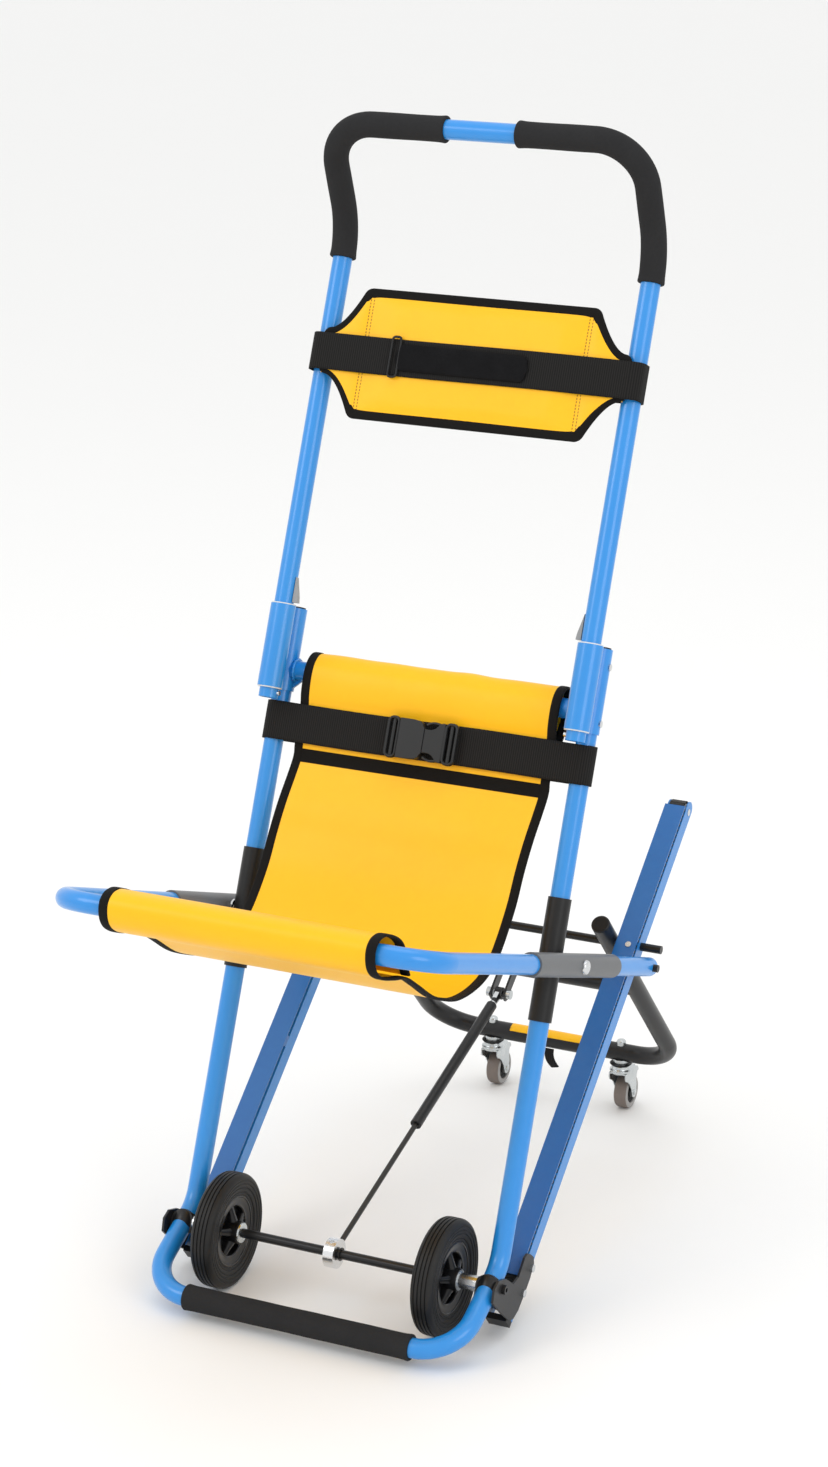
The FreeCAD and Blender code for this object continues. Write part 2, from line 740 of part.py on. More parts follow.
# rear carriage
leg_points = [(-leg_x, 0, leg_cap_up - 3), (-leg_x, 0, -carriage_drop), (leg_x, 0, -carriage_drop),
              (leg_x, 0, leg_cap_up - 3)]
legs = bent_tube(leg_points, carriage_corner, tube_d, tube_d - 2 * tube_wall)
cross_tube = across(-leg_x, leg_x, 0, -cross_drop, tube_d, tube_d - 2 * tube_wall)
leg_inside = both(lambda side: rod((side * leg_x, 0, -cross_drop - 30), (side * leg_x, 0, -cross_drop + 30),
                                   tube_d - 2 * tube_wall))
frame_weld = legs.fuse(cross_tube.cut(leg_inside[0]).cut(leg_inside[1]))
frame_weld = frame_weld.cut(across(-220, 220, 0, 0, rod_d + 2 * running))
stem_d = 8.0
upright_to_carriage = carriage.inverse().multiply(upright)


def in_carriage(shape):
    moved = shape.copy()
    moved.Placement = upright_to_carriage.multiply(moved.Placement)
    return moved


def stem(side, low, high, diameter):
    return rod((side * caster_x, caster_y, low), (side * caster_x, caster_y, high), diameter)


for side in (-1, 1):
    frame_weld = frame_weld.cut(in_carriage(stem(side, bar_z - 30, bar_z + 30, stem_d + 2 * running)))
add("carriage_frame", frame_weld.removeSplitter(), carriage)


def leg_cap(side):
    cap = rod((side * leg_x, 0, leg_cap_up - 3), (side * leg_x, 0, leg_cap_up), tube_d)
    rims = [e for e in cap.Edges if abs(e.BoundBox.Center.z - leg_cap_up) < 0.01]
    return cap.makeFillet(2.4, rims)


add("leg_caps", both(leg_cap), carriage)

# clevis for the gas strut, on the cross tube
strut_y = strut_length * math.cos(math.radians(strut_rise))
strut_z = axle_z + strut_length * math.sin(math.radians(strut_rise))
clevis_offset = carriage.inverse().multVec(Vector(0, axle_y + strut_y, strut_z))
ear_in = 8.5
ear_thick = 3.0


def clevis_ear(side):
    x0, x1 = sorted((side * ear_in, side * (ear_in + ear_thick)))
    tip_y, tip_z = clevis_offset.y, clevis_offset.z
    outline = [(tip_y - 9, tip_z - 4), (tip_y - 3, tip_z - 9), (tip_y + 5, tip_z - 8), (3, -cross_drop - 8),
               (-2, -cross_drop + 9), (tip_y - 8, tip_z + 8)]
    ear = plate(outline, x0, x1)
    ear = ear.cut(across(-leg_x, leg_x, 0, -cross_drop, tube_d))
    return ear.cut(across(-20, 20, tip_y, tip_z, 8.0 + 2 * running))


add("strut_clevis", both(clevis_ear), carriage)


def clevis_bolt(side):
    """Half of the pivot bolt: a head or nut outside its ear, and a shank as far as the ear's inner face."""
    tip_y, tip_z = clevis_offset.y, clevis_offset.z
    outer = ear_in + ear_thick
    shank = across(side * (ear_in + 0.2), side * (outer + 3), tip_y, tip_z, 8.0)
    head = across(side * outer, side * (outer + 6), tip_y, tip_z, 13.0)
    return shank.fuse(head).removeSplitter()


add("clevis_bolt", both(clevis_bolt), carriage)

cap_nut_d = 14.0
fork_top = bar_z - tube_d / 2 - 3.0


def caster_nut(side):
    """Domed nut on top of the bar, threaded stem through it and a washer below."""
    seat_height = bar_z + tube_d / 2 - 1.5
    shank = stem(side, fork_top, seat_height + 1, stem_d)
    nut = stem(side, seat_height, seat_height + 8, cap_nut_d)
    rims = [e for e in nut.Edges if abs(e.BoundBox.Center.z - seat_height - 8) < 0.01]
    nut = nut.makeFillet(4.0, rims)
    saddle_washer = stem(side, fork_top, bar_z - tube_d / 2 + 3, 22.0)
    bar = across(-leg_x, leg_x, caster_y, bar_z, tube_d)
    nut = nut.cut(bar)
    saddle_washer = saddle_washer.cut(bar)
    return shank.fuse([nut, saddle_washer]).removeSplitter()


add("caster_nuts", both(caster_nut))

# swivel casters
caster_wheel_y = caster_y + caster_trail
fork_half = 11.0


def caster_fork(side):
    """Swivel head, pressed fork with two cheeks, and the wheel's axle."""
    x = side * caster_x
    head = stem(side, fork_top - 12, fork_top - 0.2, 30.0)
    crown = box(x - fork_half - 2, caster_y - 14, fork_top - 15, x + fork_half + 2, caster_wheel_y + 2, fork_top - 12)
    outline = [(caster_y - 13, fork_top - 13), (caster_wheel_y + 2, fork_top - 13),
               (caster_wheel_y + 8, caster_d / 2 + 12), (caster_wheel_y + 7, caster_d / 2 - 6),
               (caster_wheel_y - 7, caster_d / 2 - 7), (caster_y - 12, fork_top - 28)]
    cheeks = []
    for way in (-1, 1):
        x0, x1 = sorted((x + way * fork_half, x + way * (fork_half + 2)))
        cheeks.append(plate(outline, x0, x1))
    pin = across(x - fork_half - 4, x + fork_half + 4, caster_wheel_y, caster_d / 2, 7.0)
    return head.fuse([crown, pin] + cheeks).removeSplitter()


def caster_wheel(side):
    x = side * caster_x
    wheel = across(x - 10, x + 10, caster_wheel_y, caster_d / 2, caster_d, 7.0 + 2 * running)
    rims = [e for e in wheel.Edges if e.BoundBox.XLength < 0.01 and e.BoundBox.ZLength > caster_d - 1]
    return wheel.makeFillet(3.0, rims)


add("caster_fork_left", caster_fork(-1))
add("caster_fork_right", caster_fork(1))
add("caster_wheel_left", caster_wheel(-1))
add("caster_wheel_right", caster_wheel(1))

# gas strut: collar on the axle, piston rod and cylinder
collar_d = 38.0
collar_half = 7.0
rod_thin = 7.0
cylinder_d = 15.0
collar = across(-collar_half, collar_half, 0, 0, collar_d, axle_d + 2 * running)
collar_block = across(-collar_half, collar_half, 0, 0, collar_d)
piston_rod = rod((0, 0, 12), (0, 0, strut_rod_end + 60), rod_thin).cut(collar_block)
add("strut_rod", collar.cut(rod((0, -30, 0), (0, -15, 0), 6.0)).fuse(piston_rod).removeSplitter(), strut)
cylinder_low = 252.0
cylinder_high = strut_length - 26.0
cylinder = rod((0, 0, cylinder_low), (0, 0, cylinder_high), cylinder_d)
rims = [e for e in cylinder.Edges if e.BoundBox.ZLength < 0.01]
cylinder = cylinder.makeFillet(1.6, rims)
strut_bore = rod((0, 0, cylinder_low - 1), (0, 0, cylinder_high - 12), rod_thin + 2 * running)
eye = across(-5, 5, 0, strut_length, 17.0, 9.0)
neck = rod((0, 0, cylinder_high - 2), (0, 0, strut_length - 7), 9.0)
add("strut_cylinder", cylinder.fuse([neck.cut(across(-5, 5, 0, strut_length, 9.0)), eye])
    .cut(strut_bore).removeSplitter(), strut)

# write every node
os.makedirs("parts", exist_ok=True)
for name, solids in parts.items():
    shape = solids[0] if len(solids) == 1 else Part.makeCompound(solids)
    shape.exportStep("parts/" + name + ".step")
    count = len(shape.Solids)
    valid = shape.isValid()
    print(name, "solids", count, "volume", round(shape.Volume / 1000, 1), "cm3", "valid", valid)
whole = Part.makeCompound([s for solids in parts.values() for s in solids]).BoundBox
print("nodes", len(parts), "box", [round(v, 2) for v in (whole.XMin, whole.YMin, whole.ZMin,
                                                        whole.XMax, whole.YMax, whole.ZMax)])
print("axle_y", round(axle_y, 3), "rod", round(rod_y, 2), round(rod_z, 2), "bar", round(caster_y, 2), round(bar_z, 2))
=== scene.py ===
import json
import math

import bmesh
import bpy
import numpy as np
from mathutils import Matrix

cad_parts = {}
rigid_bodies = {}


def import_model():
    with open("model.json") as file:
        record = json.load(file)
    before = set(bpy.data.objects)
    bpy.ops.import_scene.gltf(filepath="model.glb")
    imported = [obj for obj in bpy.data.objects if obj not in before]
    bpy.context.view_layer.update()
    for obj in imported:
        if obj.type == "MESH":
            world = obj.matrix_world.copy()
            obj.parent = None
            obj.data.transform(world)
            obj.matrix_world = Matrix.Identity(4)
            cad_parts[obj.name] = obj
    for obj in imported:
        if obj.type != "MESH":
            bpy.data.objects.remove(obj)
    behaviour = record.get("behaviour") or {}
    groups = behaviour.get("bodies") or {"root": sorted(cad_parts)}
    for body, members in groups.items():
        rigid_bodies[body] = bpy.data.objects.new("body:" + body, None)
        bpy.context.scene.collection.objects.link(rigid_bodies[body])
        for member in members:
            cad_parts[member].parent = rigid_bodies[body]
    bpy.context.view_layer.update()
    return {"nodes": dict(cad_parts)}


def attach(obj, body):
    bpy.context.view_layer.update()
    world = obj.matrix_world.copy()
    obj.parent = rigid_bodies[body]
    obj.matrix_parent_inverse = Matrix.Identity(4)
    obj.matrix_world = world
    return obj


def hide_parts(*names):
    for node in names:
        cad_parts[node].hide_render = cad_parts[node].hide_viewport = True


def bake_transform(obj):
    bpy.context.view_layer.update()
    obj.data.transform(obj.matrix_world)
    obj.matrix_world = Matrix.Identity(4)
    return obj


for leftover in list(bpy.data.objects):
    bpy.data.objects.remove(leftover, do_unlink=True)
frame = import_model()
print("stair chair: frame loaded,", len(frame["nodes"]), "nodes")

mm = 0.001
axleAt = (0.0, -0.244163, 0.075)
tubeLean = 22.66
railLean = 50.3
legAcross = 215.0
rightAndLeft = (1, -1)
sideNames = ((1, "right"), (-1, "left"))


# y = origin + along * sin(lean) + behind * cos(lean), z = origin + along * cos(lean) - behind * sin(lean), all given in mm
def leaned(across, behind, along, lean=tubeLean, origin=axleAt):
    turn = math.radians(lean)
    across, behind, along = np.broadcast_arrays(np.asarray(across, float), behind, along)
    return np.stack([origin[0] + across * mm, origin[1] + (along * math.sin(turn) + behind * math.cos(turn)) * mm,
            origin[2] + (along * math.cos(turn) - behind * math.sin(turn)) * mm], -1)


# Catmull-Rom curve through the points, then read again at equal steps of its length
def smoothLine(points, count, closed=False):
    pts = np.asarray(points, float)
    if closed:
        ring = np.vstack([pts[-1:], pts, pts[:2]])
    else:
        ring = np.vstack([2 * pts[:1] - pts[1:2], pts, 2 * pts[-1:] - pts[-2:-1]])
    t = np.linspace(0, 1, 24, endpoint=False)[None, :, None]
    a, b, c, d = ring[:-3, None], ring[1:-2, None], ring[2:-1, None], ring[3:, None]
    curve = 0.5 * (2 * b + (c - a) * t + (2 * a - 5 * b + 4 * c - d) * t ** 2 + (3 * b - a - 3 * c + d) * t ** 3)
    curve = np.vstack([curve.reshape(-1, pts.shape[1]), pts[:1] if closed else pts[-1:]])
    run = runOf(curve)
    at = np.linspace(0, run[-1], count + 1)[:-1] if closed else np.linspace(0, run[-1], count)
    return np.stack([np.interp(at, run, curve[:, k]) for k in range(pts.shape[1])], -1)


# straight runs, with each corner replaced by an arc that touches both runs at radius / tan(half the inside angle)
def roundedLine(corners, radius, steps=12, closed=False):
    pts = np.asarray(corners, float)
    rows = []
    for index in range(len(pts)):
        if not closed and index in (0, len(pts) - 1):
            rows.append(pts[index:index + 1])
            continue
        here, before, after = pts[index], pts[index - 1] - pts[index], pts[(index + 1) % len(pts)] - pts[index]
        before, after = before / np.linalg.norm(before), after / np.linalg.norm(after)
        half = math.acos(np.clip(before @ after, -1, 1)) / 2
        middle = (before + after) / np.linalg.norm(before + after)
        centre = here + middle * radius / math.sin(half)
        start, end = here + before * radius / math.tan(half), here + after * radius / math.tan(half)
        sweepAngle = math.pi - 2 * half
        t = np.linspace(0, 1, steps)[:, None]
        arc = np.sin((1 - t) * sweepAngle) * (start - centre) + np.sin(t * sweepAngle) * (end - centre)
        rows.append(centre + arc / math.sin(sweepAngle))
    return np.vstack(rows)


def unit(v):
    return v / np.linalg.norm(v, axis=-1, keepdims=True)


# arrays spread over each other's shape and set side by side
def joined(*parts):
    return np.stack(np.broadcast_arrays(*parts), -1)


outward = unit(leaned(0, -1, 0) - leaned(0, 0, 0))
alongTube = unit(leaned(0, 0, 1) - leaned(0, 0, 0))


# length of the line from its first point up to each point
def runOf(path):
    return np.concatenate([[0], np.cumsum(np.linalg.norm(np.diff(path, axis=0), axis=1))])


# superellipse |a/w|^power + |b/h|^power = 1
def ovalRing(w, h, count=16, power=2.0):
    t = np.linspace(0, 2 * math.pi, count, endpoint=False)
    return np.stack([w * np.sign(np.cos(t)) * np.abs(np.cos(t)) ** (2 / power),
            h * np.sign(np.sin(t)) * np.abs(np.sin(t)) ** (2 / power)], -1)


# point = path + side * a + lift * b, where side is square to the path and to up
def carried(path, profile, up, closed=False):
    ahead = unit(np.roll(path, -1, 0) - np.roll(path, 1, 0)) if closed else unit(np.gradient(path, axis=0))
    side = unit(np.cross(ahead, up))
    lift = np.cross(side, ahead)
    profile = profile if profile.ndim == 3 else np.broadcast_to(profile, (len(path),) + profile.shape)
    return path[:, None] + side[:, None] * profile[..., :1] + lift[:, None] * profile[..., 1:]


# point = centre + axis * place + radius * (cos turn, sin turn) in the plane square to the axis
def turned(profile, centre, sides=48, axis=(1, 0, 0)):
    axis = unit(np.asarray(axis, float))
    first = unit(np.cross(axis, (0, 0, 1) if abs(axis[2]) < 0.9 else (0, 1, 0)))
    second = np.cross(axis, first)
    t = np.linspace(0, 2 * math.pi, sides, endpoint=False)[:, None, None]
    place, radius = profile[None, :, :1], profile[None, :, 1:]
    return np.asarray(centre) + axis * place + radius * (np.cos(t) * first + np.sin(t) * second)


# quads of a grid of rows and columns, wrapped round where it is closed, with its open ends capped if wanted
def skin(points, wrapRows=False, wrapCols=False, capRows=False, capCols=False, uv=None):
    rows, cols = points.shape[:2]
    r, c = np.meshgrid(np.arange(rows if wrapRows else rows - 1), np.arange(cols if wrapCols else cols - 1), indexing="ij")
    r2, c2 = (r + 1) % rows, (c + 1) % cols
    quads = np.stack([r * cols + c, r2 * cols + c, r2 * cols + c2, r * cols + c2], -1).reshape(-1, 4).tolist()
    index = np.arange(rows * cols).reshape(rows, cols)
    if capRows:
        quads += [index[0].tolist(), index[-1, ::-1].tolist()]
    if capCols:
        quads += [index[:, 0].tolist(), index[::-1, -1].tolist()]
    return {"points": points.reshape(-1, 3), "faces": quads, "uv": None if uv is None else uv.reshape(-1, 2)}


# section carried along a path: a closed ring, or a rod with capped ends
def swept(path, section, up, closed=False, uv=None):
    return skin(carried(path, section, up, closed), wrapRows=closed, wrapCols=True, capRows=not closed, uv=uv)


# closed section turned once round an axis
def spun(profile, centre, sides=48, axis=(1, 0, 0)):
    return skin(turned(profile, centre, sides, axis), wrapRows=True, wrapCols=True)


# flat outline in a plane given by two directions, carried by depth along their cross product
def slab(outline, depth, origin, first, second):
    outline = np.asarray(outline, float) * mm
    first, second = unit(np.asarray(first, float)), unit(np.asarray(second, float))
    face = np.asarray(origin) + outline[:, :1] * first + outline[:, 1:] * second
    away = np.cross(first, second) * depth * mm
    return skin(np.stack([face - away / 2, face + away / 2]), wrapCols=True, capRows=True)


def piece(name, shapes, finish, body, closed=True, sharp=38):
    shapes = shapes if isinstance(shapes, list) else [shapes]
    points, faces, uvs, start = [], [], [], 0
    for shape in shapes:
        points.append(shape["points"])
        faces += [[start + k for k in face] for face in shape["faces"]]
        uvs.append(shape["uv"] if shape["uv"] is not None else shape["points"][:, :2])
        start += len(shape["points"])
    mesh = bpy.data.meshes.new(name)
    mesh.from_pydata(np.vstack(points).tolist(), [], faces)
    corner = np.empty(len(mesh.loops), np.int32)
    mesh.loops.foreach_get("vertex_index", corner)
    mesh.uv_layers.new(name="UVMap").data.foreach_set("uv", np.vstack(uvs)[corner].astype(np.float32).ravel())
    shell = bmesh.new()
    shell.from_mesh(mesh)
    bmesh.ops.remove_doubles(shell, verts=shell.verts, dist=1e-6)
    if closed:
        bmesh.ops.recalc_face_normals(shell, faces=shell.faces)
    shell.to_mesh(mesh)
    shell.free()
    mesh.shade_smooth()
    mesh.set_sharp_from_angle(angle=math.radians(sharp))
    mesh.materials.append(finishes[finish])
    thing = bpy.data.objects.new(name, mesh)
    bpy.context.scene.collection.objects.link(thing)
    if body:
        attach(thing, body)
    return thing


def rounded(thing, width, segments=2):
    bevel = thing.modifiers.new("edges", "BEVEL")
    bevel.width = width * mm
    bevel.segments = segments
    bevel.limit_method = "ANGLE"
    bevel.angle_limit = math.radians(40)
    bevel.harden_normals = False
    return thing


def thickened(thing, thickness, offset=0.0):
    wall = thing.modifiers.new("wall", "SOLIDIFY")
    wall.thickness = thickness * mm
    wall.offset = offset
    wall.use_even_offset = True
    return thing


def linear(code):
    parts = [int(code[k:k + 2], 16) / 255 for k in (0, 2, 4)]
    return [p / 12.92 if p <= 0.04045 else ((p + 0.055) / 1.055) ** 2.4 for p in parts] + [1.0]


def shaderGroup(name, inputs, outputs):
    group = bpy.data.node_groups.new(name, "ShaderNodeTree")
    for label, kind, value in inputs:
        group.interface.new_socket(label, in_out="INPUT", socket_type="NodeSocket" + kind).default_value = value
    for label, kind in outputs:
        group.interface.new_socket(label, in_out="OUTPUT", socket_type="NodeSocket" + kind)
    return group, group.nodes.new("NodeGroupInput").outputs, group.nodes.new("NodeGroupOutput").inputs


def feed(tree, source, socket):
    if isinstance(source, bpy.types.NodeSocket):
        tree.links.new(source, socket)
    else:
        socket.default_value = source


def calc(tree, operation, *sources):
    node = tree.nodes.new("ShaderNodeMath")
    node.operation = operation
    for index, source in enumerate(sources):
        feed(tree, source, node.inputs[index])
    return node.outputs[0]


def times(tree, first, second):
    return calc(tree, "MULTIPLY", first, second)


def blended(tree, factor, first, second):
    node = tree.nodes.new("ShaderNodeMix")
    node.data_type = "RGBA"
    feed(tree, factor, node.inputs[0])
    feed(tree, first, node.inputs[6])
    feed(tree, second, node.inputs[7])
    return node.outputs[2]


def noise(tree, place, scale, detail=3.0, roughness=0.5):
    node = tree.nodes.new("ShaderNodeTexNoise")
    tree.links.new(place, node.inputs["Vector"])
    feed(tree, scale, node.inputs["Scale"])
    node.inputs["Detail"].default_value = detail
    node.inputs["Roughness"].default_value = roughness
    return node.outputs[0]


def objectPlace(tree):
    return tree.nodes.new("ShaderNodeTexCoord").outputs["Object"]


def uvPlace(tree):
    node = tree.nodes.new("ShaderNodeUVMap")
    node.uv_map = "UVMap"
    split = tree.nodes.new("ShaderNodeSeparateXYZ")
    tree.links.new(node.outputs[0], split.inputs[0])
    return node.outputs[0], split.outputs[0], split.outputs[1]


# one mask: 1 near middle, 0 beyond half a width, with a soft edge
def strip(tree, value, middle, width, soft):
    gap = calc(tree, "ABSOLUTE", calc(tree, "SUBTRACT", value, middle))
    return calc(tree, "SUBTRACT", 1.0, calc(tree, "MINIMUM", 1.0, calc(tree, "MAXIMUM", 0.0,
            calc(tree, "DIVIDE", calc(tree, "SUBTRACT", gap, width / 2), soft))))


def buildGrain():
    tree, given, out = shaderGroup("surfaceGrain", [
        ("Colour", "Color", (0.5, 0.5, 0.5, 1)), ("Worn Colour", "Color", (0.4, 0.4, 0.4, 1)), ("Wear", "Float", 0.2),
        ("Patch Scale", "Float", 12.0), ("Grain Scale", "Float", 900.0), ("Roughness", "Float", 0.4),
        ("Roughness Spread", "Float", 0.1)], [("Colour", "Color"), ("Roughness", "Float"), ("Height", "Float")])
    place = objectPlace(tree)
    patches = noise(tree, place, given["Patch Scale"], 4.0)
    scuffs = noise(tree, place, times(tree, given["Patch Scale"], 9.0), 5.0, 0.65)
    mask = times(tree, times(tree, patches, scuffs), times(tree, given["Wear"], 3.0))
    tree.links.new(blended(tree, mask, given["Colour"], given["Worn Colour"]), out["Colour"])
    spread = times(tree, calc(tree, "SUBTRACT", patches, 0.5), given["Roughness Spread"])
    tree.links.new(calc(tree, "ADD", given["Roughness"], times(tree, spread, 2.0)), out["Roughness"])
    tree.links.new(noise(tree, place, given["Grain Scale"], 2.0), out["Height"])
    return tree


# ribs square to the length: height = |sin(pi * u / pitch)|, two rows of warp threads and a fine fuzz
def buildWebbing():
    tree, given, out = shaderGroup("ribbedWebbing", [
        ("Colour", "Color", (0.02, 0.02, 0.02, 1)), ("Lit Colour", "Color", (0.05, 0.05, 0.05, 1)),
        ("Rib Pitch", "Float", 0.0016), ("Thread Pitch", "Float", 0.0011)], [("Colour", "Color"), ("Height", "Float")])
    place, u, v = uvPlace(tree)
    ribs = calc(tree, "ABSOLUTE", calc(tree, "SINE", calc(tree, "DIVIDE", times(tree, u, math.pi), given["Rib Pitch"])))
    threads = calc(tree, "ABSOLUTE", calc(tree, "SINE", calc(tree, "DIVIDE", times(tree, v, math.pi), given["Thread Pitch"])))
    fuzz = noise(tree, objectPlace(tree), 700.0, 3.0)
    height = calc(tree, "ADD", times(tree, ribs, 0.7), calc(tree, "ADD", times(tree, threads, 0.1), times(tree, fuzz, 0.3)))
    tree.links.new(blended(tree, times(tree, height, 0.8), given["Colour"], given["Lit Colour"]), out["Colour"])
    tree.links.new(height, out["Height"])
    return tree


# base cloth pressing through its coating: height = sin(u) * sin(v) at the thread pitch, under slow dents
def buildWeave():
    tree, given, out = shaderGroup("coatedWeave", [("Thread Pitch", "Float", 0.0014), ("Dents", "Float", 0.6)], [("Height", "Float")])
    place, u, v = uvPlace(tree)
    turn = [calc(tree, "SINE", calc(tree, "DIVIDE", times(tree, side, 2 * math.pi), given["Thread Pitch"])) for side in (u, v)]
    cells = times(tree, turn[0], turn[1])
    dents = times(tree, noise(tree, objectPlace(tree), 26.0, 3.0), given["Dents"])
    tree.links.new(calc(tree, "ADD", times(tree, cells, 0.12), times(tree, dents, 4.0)), out["Height"])
    return tree


grainGroup, webbingGroup, weaveGroup = buildGrain(), buildWebbing(), buildWeave()


def newFinish(name, metallic=0.0, coat=0.0, coatRoughness=0.1, specular=0.5):
    finish = bpy.data.materials.new(name)
    finish.use_nodes = True
    tree = finish.node_tree
    shader = tree.nodes["Principled BSDF"]
    shader.inputs["Metallic"].default_value = metallic
    shader.inputs["Coat Weight"].default_value = coat
    shader.inputs["Coat Roughness"].default_value = coatRoughness
    shader.inputs["Specular IOR Level"].default_value = specular
    return finish, tree, shader.inputs


def effect(tree, group, **values):
    node = tree.nodes.new("ShaderNodeGroup")
    node.node_tree = group
    for label, value in values.items():
        node.inputs[label.replace("_", " ")].default_value = value
    return node


def bump(tree, height, shader, strength, distance):
    node = tree.nodes.new("ShaderNodeBump")
    node.inputs["Strength"].default_value = strength
    node.inputs["Distance"].default_value = distance
    tree.links.new(height, node.inputs["Height"])
    tree.links.new(node.outputs[0], shader["Normal"])


def grained(name, colour, worn, roughness, wear=0.15, patch=14.0, grain=900.0, strength=0.1, distance=0.0003, spread=0.06,
        **shaderValues):
    finish, tree, shader = newFinish(name, **shaderValues)
    node = effect(tree, grainGroup, Colour=linear(colour), Worn_Colour=linear(worn), Wear=wear, Patch_Scale=patch,
            Grain_Scale=grain, Roughness=roughness, Roughness_Spread=spread)
    tree.links.new(node.outputs["Colour"], shader["Base Color"])
    tree.links.new(node.outputs["Roughness"], shader["Roughness"])
    bump(tree, node.outputs["Height"], shader, strength, distance)
    return finish


# name, colour, worn colour, roughness, wear, patch scale, grain scale, bump strength and distance, then the rest
finishes = {name: grained(name, *values, **more) for name, values, more in [
    # the rail covers' blue is the frame's own paint made darker: painted shade for their down- and front-facing faces
    ("shadedCoverBlue", ("1c61a6", "2f7ac0", 0.34, 0.2, 10, 650, 0.06), dict(coat=0.15, coatRoughness=0.2)),
    ("frameBlue", ("1b86d6", "3a9ae2", 0.3, 0.2, 10, 650, 0.06), dict(coat=0.35, coatRoughness=0.12)),
    ("railBlue", ("2a7fca", "4a97da", 0.36, 0.2, 10, 650, 0.06), dict(coat=0.25, coatRoughness=0.2)),
    ("gripFoam", ("272728", "333334", 0.85, 0.35, 30, 1600, 0.5, 0.0006), dict(specular=0.12)),
    ("buckleGrey", ("1e1f20", "2a2b2c", 0.4, 0.2, 30, 1400, 0.2), dict(specular=0.35)),
    ("catchGrey", ("8b8d8e", "a2a4a5", 0.4, 0.2, 30, 1200, 0.1), dict()),
    ("blackPlastic", ("121213", "202021", 0.38, 0.25, 22, 1100, 0.12), dict(specular=0.3)),
    ("sleeveBlack", ("141414", "2a2a2b", 0.36, 0.3, 16, 900, 0.08), dict(specular=0.3)),
    ("nylonWhite", ("dcdedd", "c3c6c4", 0.42, 0.2, 25, 1200, 0.08), dict()),
    ("rimBlack", ("0c0c0d", "1d1d1e", 0.3, 0.15, 30, 800, 0.05), dict(coat=0.15, coatRoughness=0.12, specular=0.3)),
    ("tyreRubber", ("161616", "2a2928", 0.5, 0.3, 24, 1300, 0.3, 0.0004), dict(specular=0.3)),
    ("treadGrey", ("6d635d", "857b74", 0.66, 0.3, 60, 1500, 0.3, 0.0004), dict()),
    ("treadSide", ("9a9896", "868482", 0.55, 0.3, 60, 1500, 0.2), dict()),
    ("steelBlack", ("171718", "2b2b2c", 0.35, 0.25, 14, 800, 0.08), dict(coat=0.1, coatRoughness=0.2, specular=0.3)),
    ("steelBright", ("d8dadb", "b9bcbe", 0.24, 0.3, 40, 1400, 0.1), dict(metallic=1.0, spread=0.12)),
    ("zincPlate", ("cfd3d4", "aeb4b6", 0.27, 0.4, 30, 1000, 0.15), dict(metallic=1.0, spread=0.16)),
    ("turnedAlu", ("e0e1e2", "bfc1c2", 0.22, 0.3, 60, 1800, 0.2), dict(metallic=1.0, spread=0.14)),
    ("bracketGrey", ("1f1f20", "353537", 0.4, 0.3, 20, 900, 0.12), dict(specular=0.35)),
    ("sleeveGrey", ("5f6163", "6d6f71", 0.4, 0.2, 16, 1000, 0.1), dict(specular=0.35)),
]}


# ribs square to the rail: height from sin of the place along the rail; the rib crests are also painted lighter, a
# painted highlight
def beltFinish():
    finish, tree, shader = newFinish("beltRubber")
    node = effect(tree, grainGroup, Colour=linear("121212"), Worn_Colour=linear("232323"), Wear=0.4, Patch_Scale=30.0,
            Grain_Scale=900.0, Roughness=0.6, Roughness_Spread=0.08)
    split = tree.nodes.new("ShaderNodeSeparateXYZ")
    tree.links.new(objectPlace(tree), split.inputs[0])
    lean = math.radians(railLean)
    along = calc(tree, "ADD", times(tree, split.outputs[1], math.sin(lean)), times(tree, split.outputs[2], math.cos(lean)))
    ribs = calc(tree, "SINE", times(tree, along, 2 * math.pi / 0.006))
    # painted highlight: the raised half of each rib is blended towards a lighter grey
    paintedCrestHighlight = times(tree, calc(tree, "MAXIMUM", ribs, 0.0), 0.5)
    tree.links.new(blended(tree, paintedCrestHighlight, node.outputs["Colour"], linear("30302f")), shader["Base Color"])
    tree.links.new(node.outputs["Roughness"], shader["Roughness"])
    bump(tree, ribs, shader, 0.9, 0.0012)
    return finish


# dark rod with a bright collar: the mask is how far a point stands from the wheel axle
def strutRodFinish():
    finish, tree, shader = newFinish("strutRod")
    place = objectPlace(tree)
    gap = tree.nodes.new("ShaderNodeVectorMath")
    gap.operation = "DISTANCE"
    flat = tree.nodes.new("ShaderNodeVectorMath")
    flat.operation = "MULTIPLY"
    flat.inputs[1].default_value = (0, 1, 1)
    tree.links.new(place, flat.inputs[0])
    tree.links.new(flat.outputs[0], gap.inputs[0])
    gap.inputs[1].default_value = (0, axleAt[1], axleAt[2])
    collar = calc(tree, "LESS_THAN", gap.outputs["Value"], 0.0194)
    rings = calc(tree, "SINE", times(tree, gap.outputs["Value"], 9000.0))
    tree.links.new(blended(tree, collar, linear("3c3b3a"), linear("e2e3e4")), shader["Base Color"])
    tree.links.new(calc(tree, "MULTIPLY_ADD", collar, -0.18, 0.42), shader["Roughness"])
    tree.links.new(calc(tree, "MULTIPLY_ADD", collar, 0.4, 0.6), shader["Metallic"])
    bump(tree, times(tree, rings, collar), shader, 0.15, 0.0001)
    return finish


def webFinish(name, colour, lit, rib):
    finish, tree, shader = newFinish(name, specular=0.12)
    shader["Roughness"].default_value = 0.72
    node = effect(tree, webbingGroup, Colour=linear(colour), Lit_Colour=linear(lit), Rib_Pitch=rib)
    tree.links.new(node.outputs["Colour"], shader["Base Color"])
    bump(tree, node.outputs["Height"], shader, 0.8, 0.0006)
    return finish


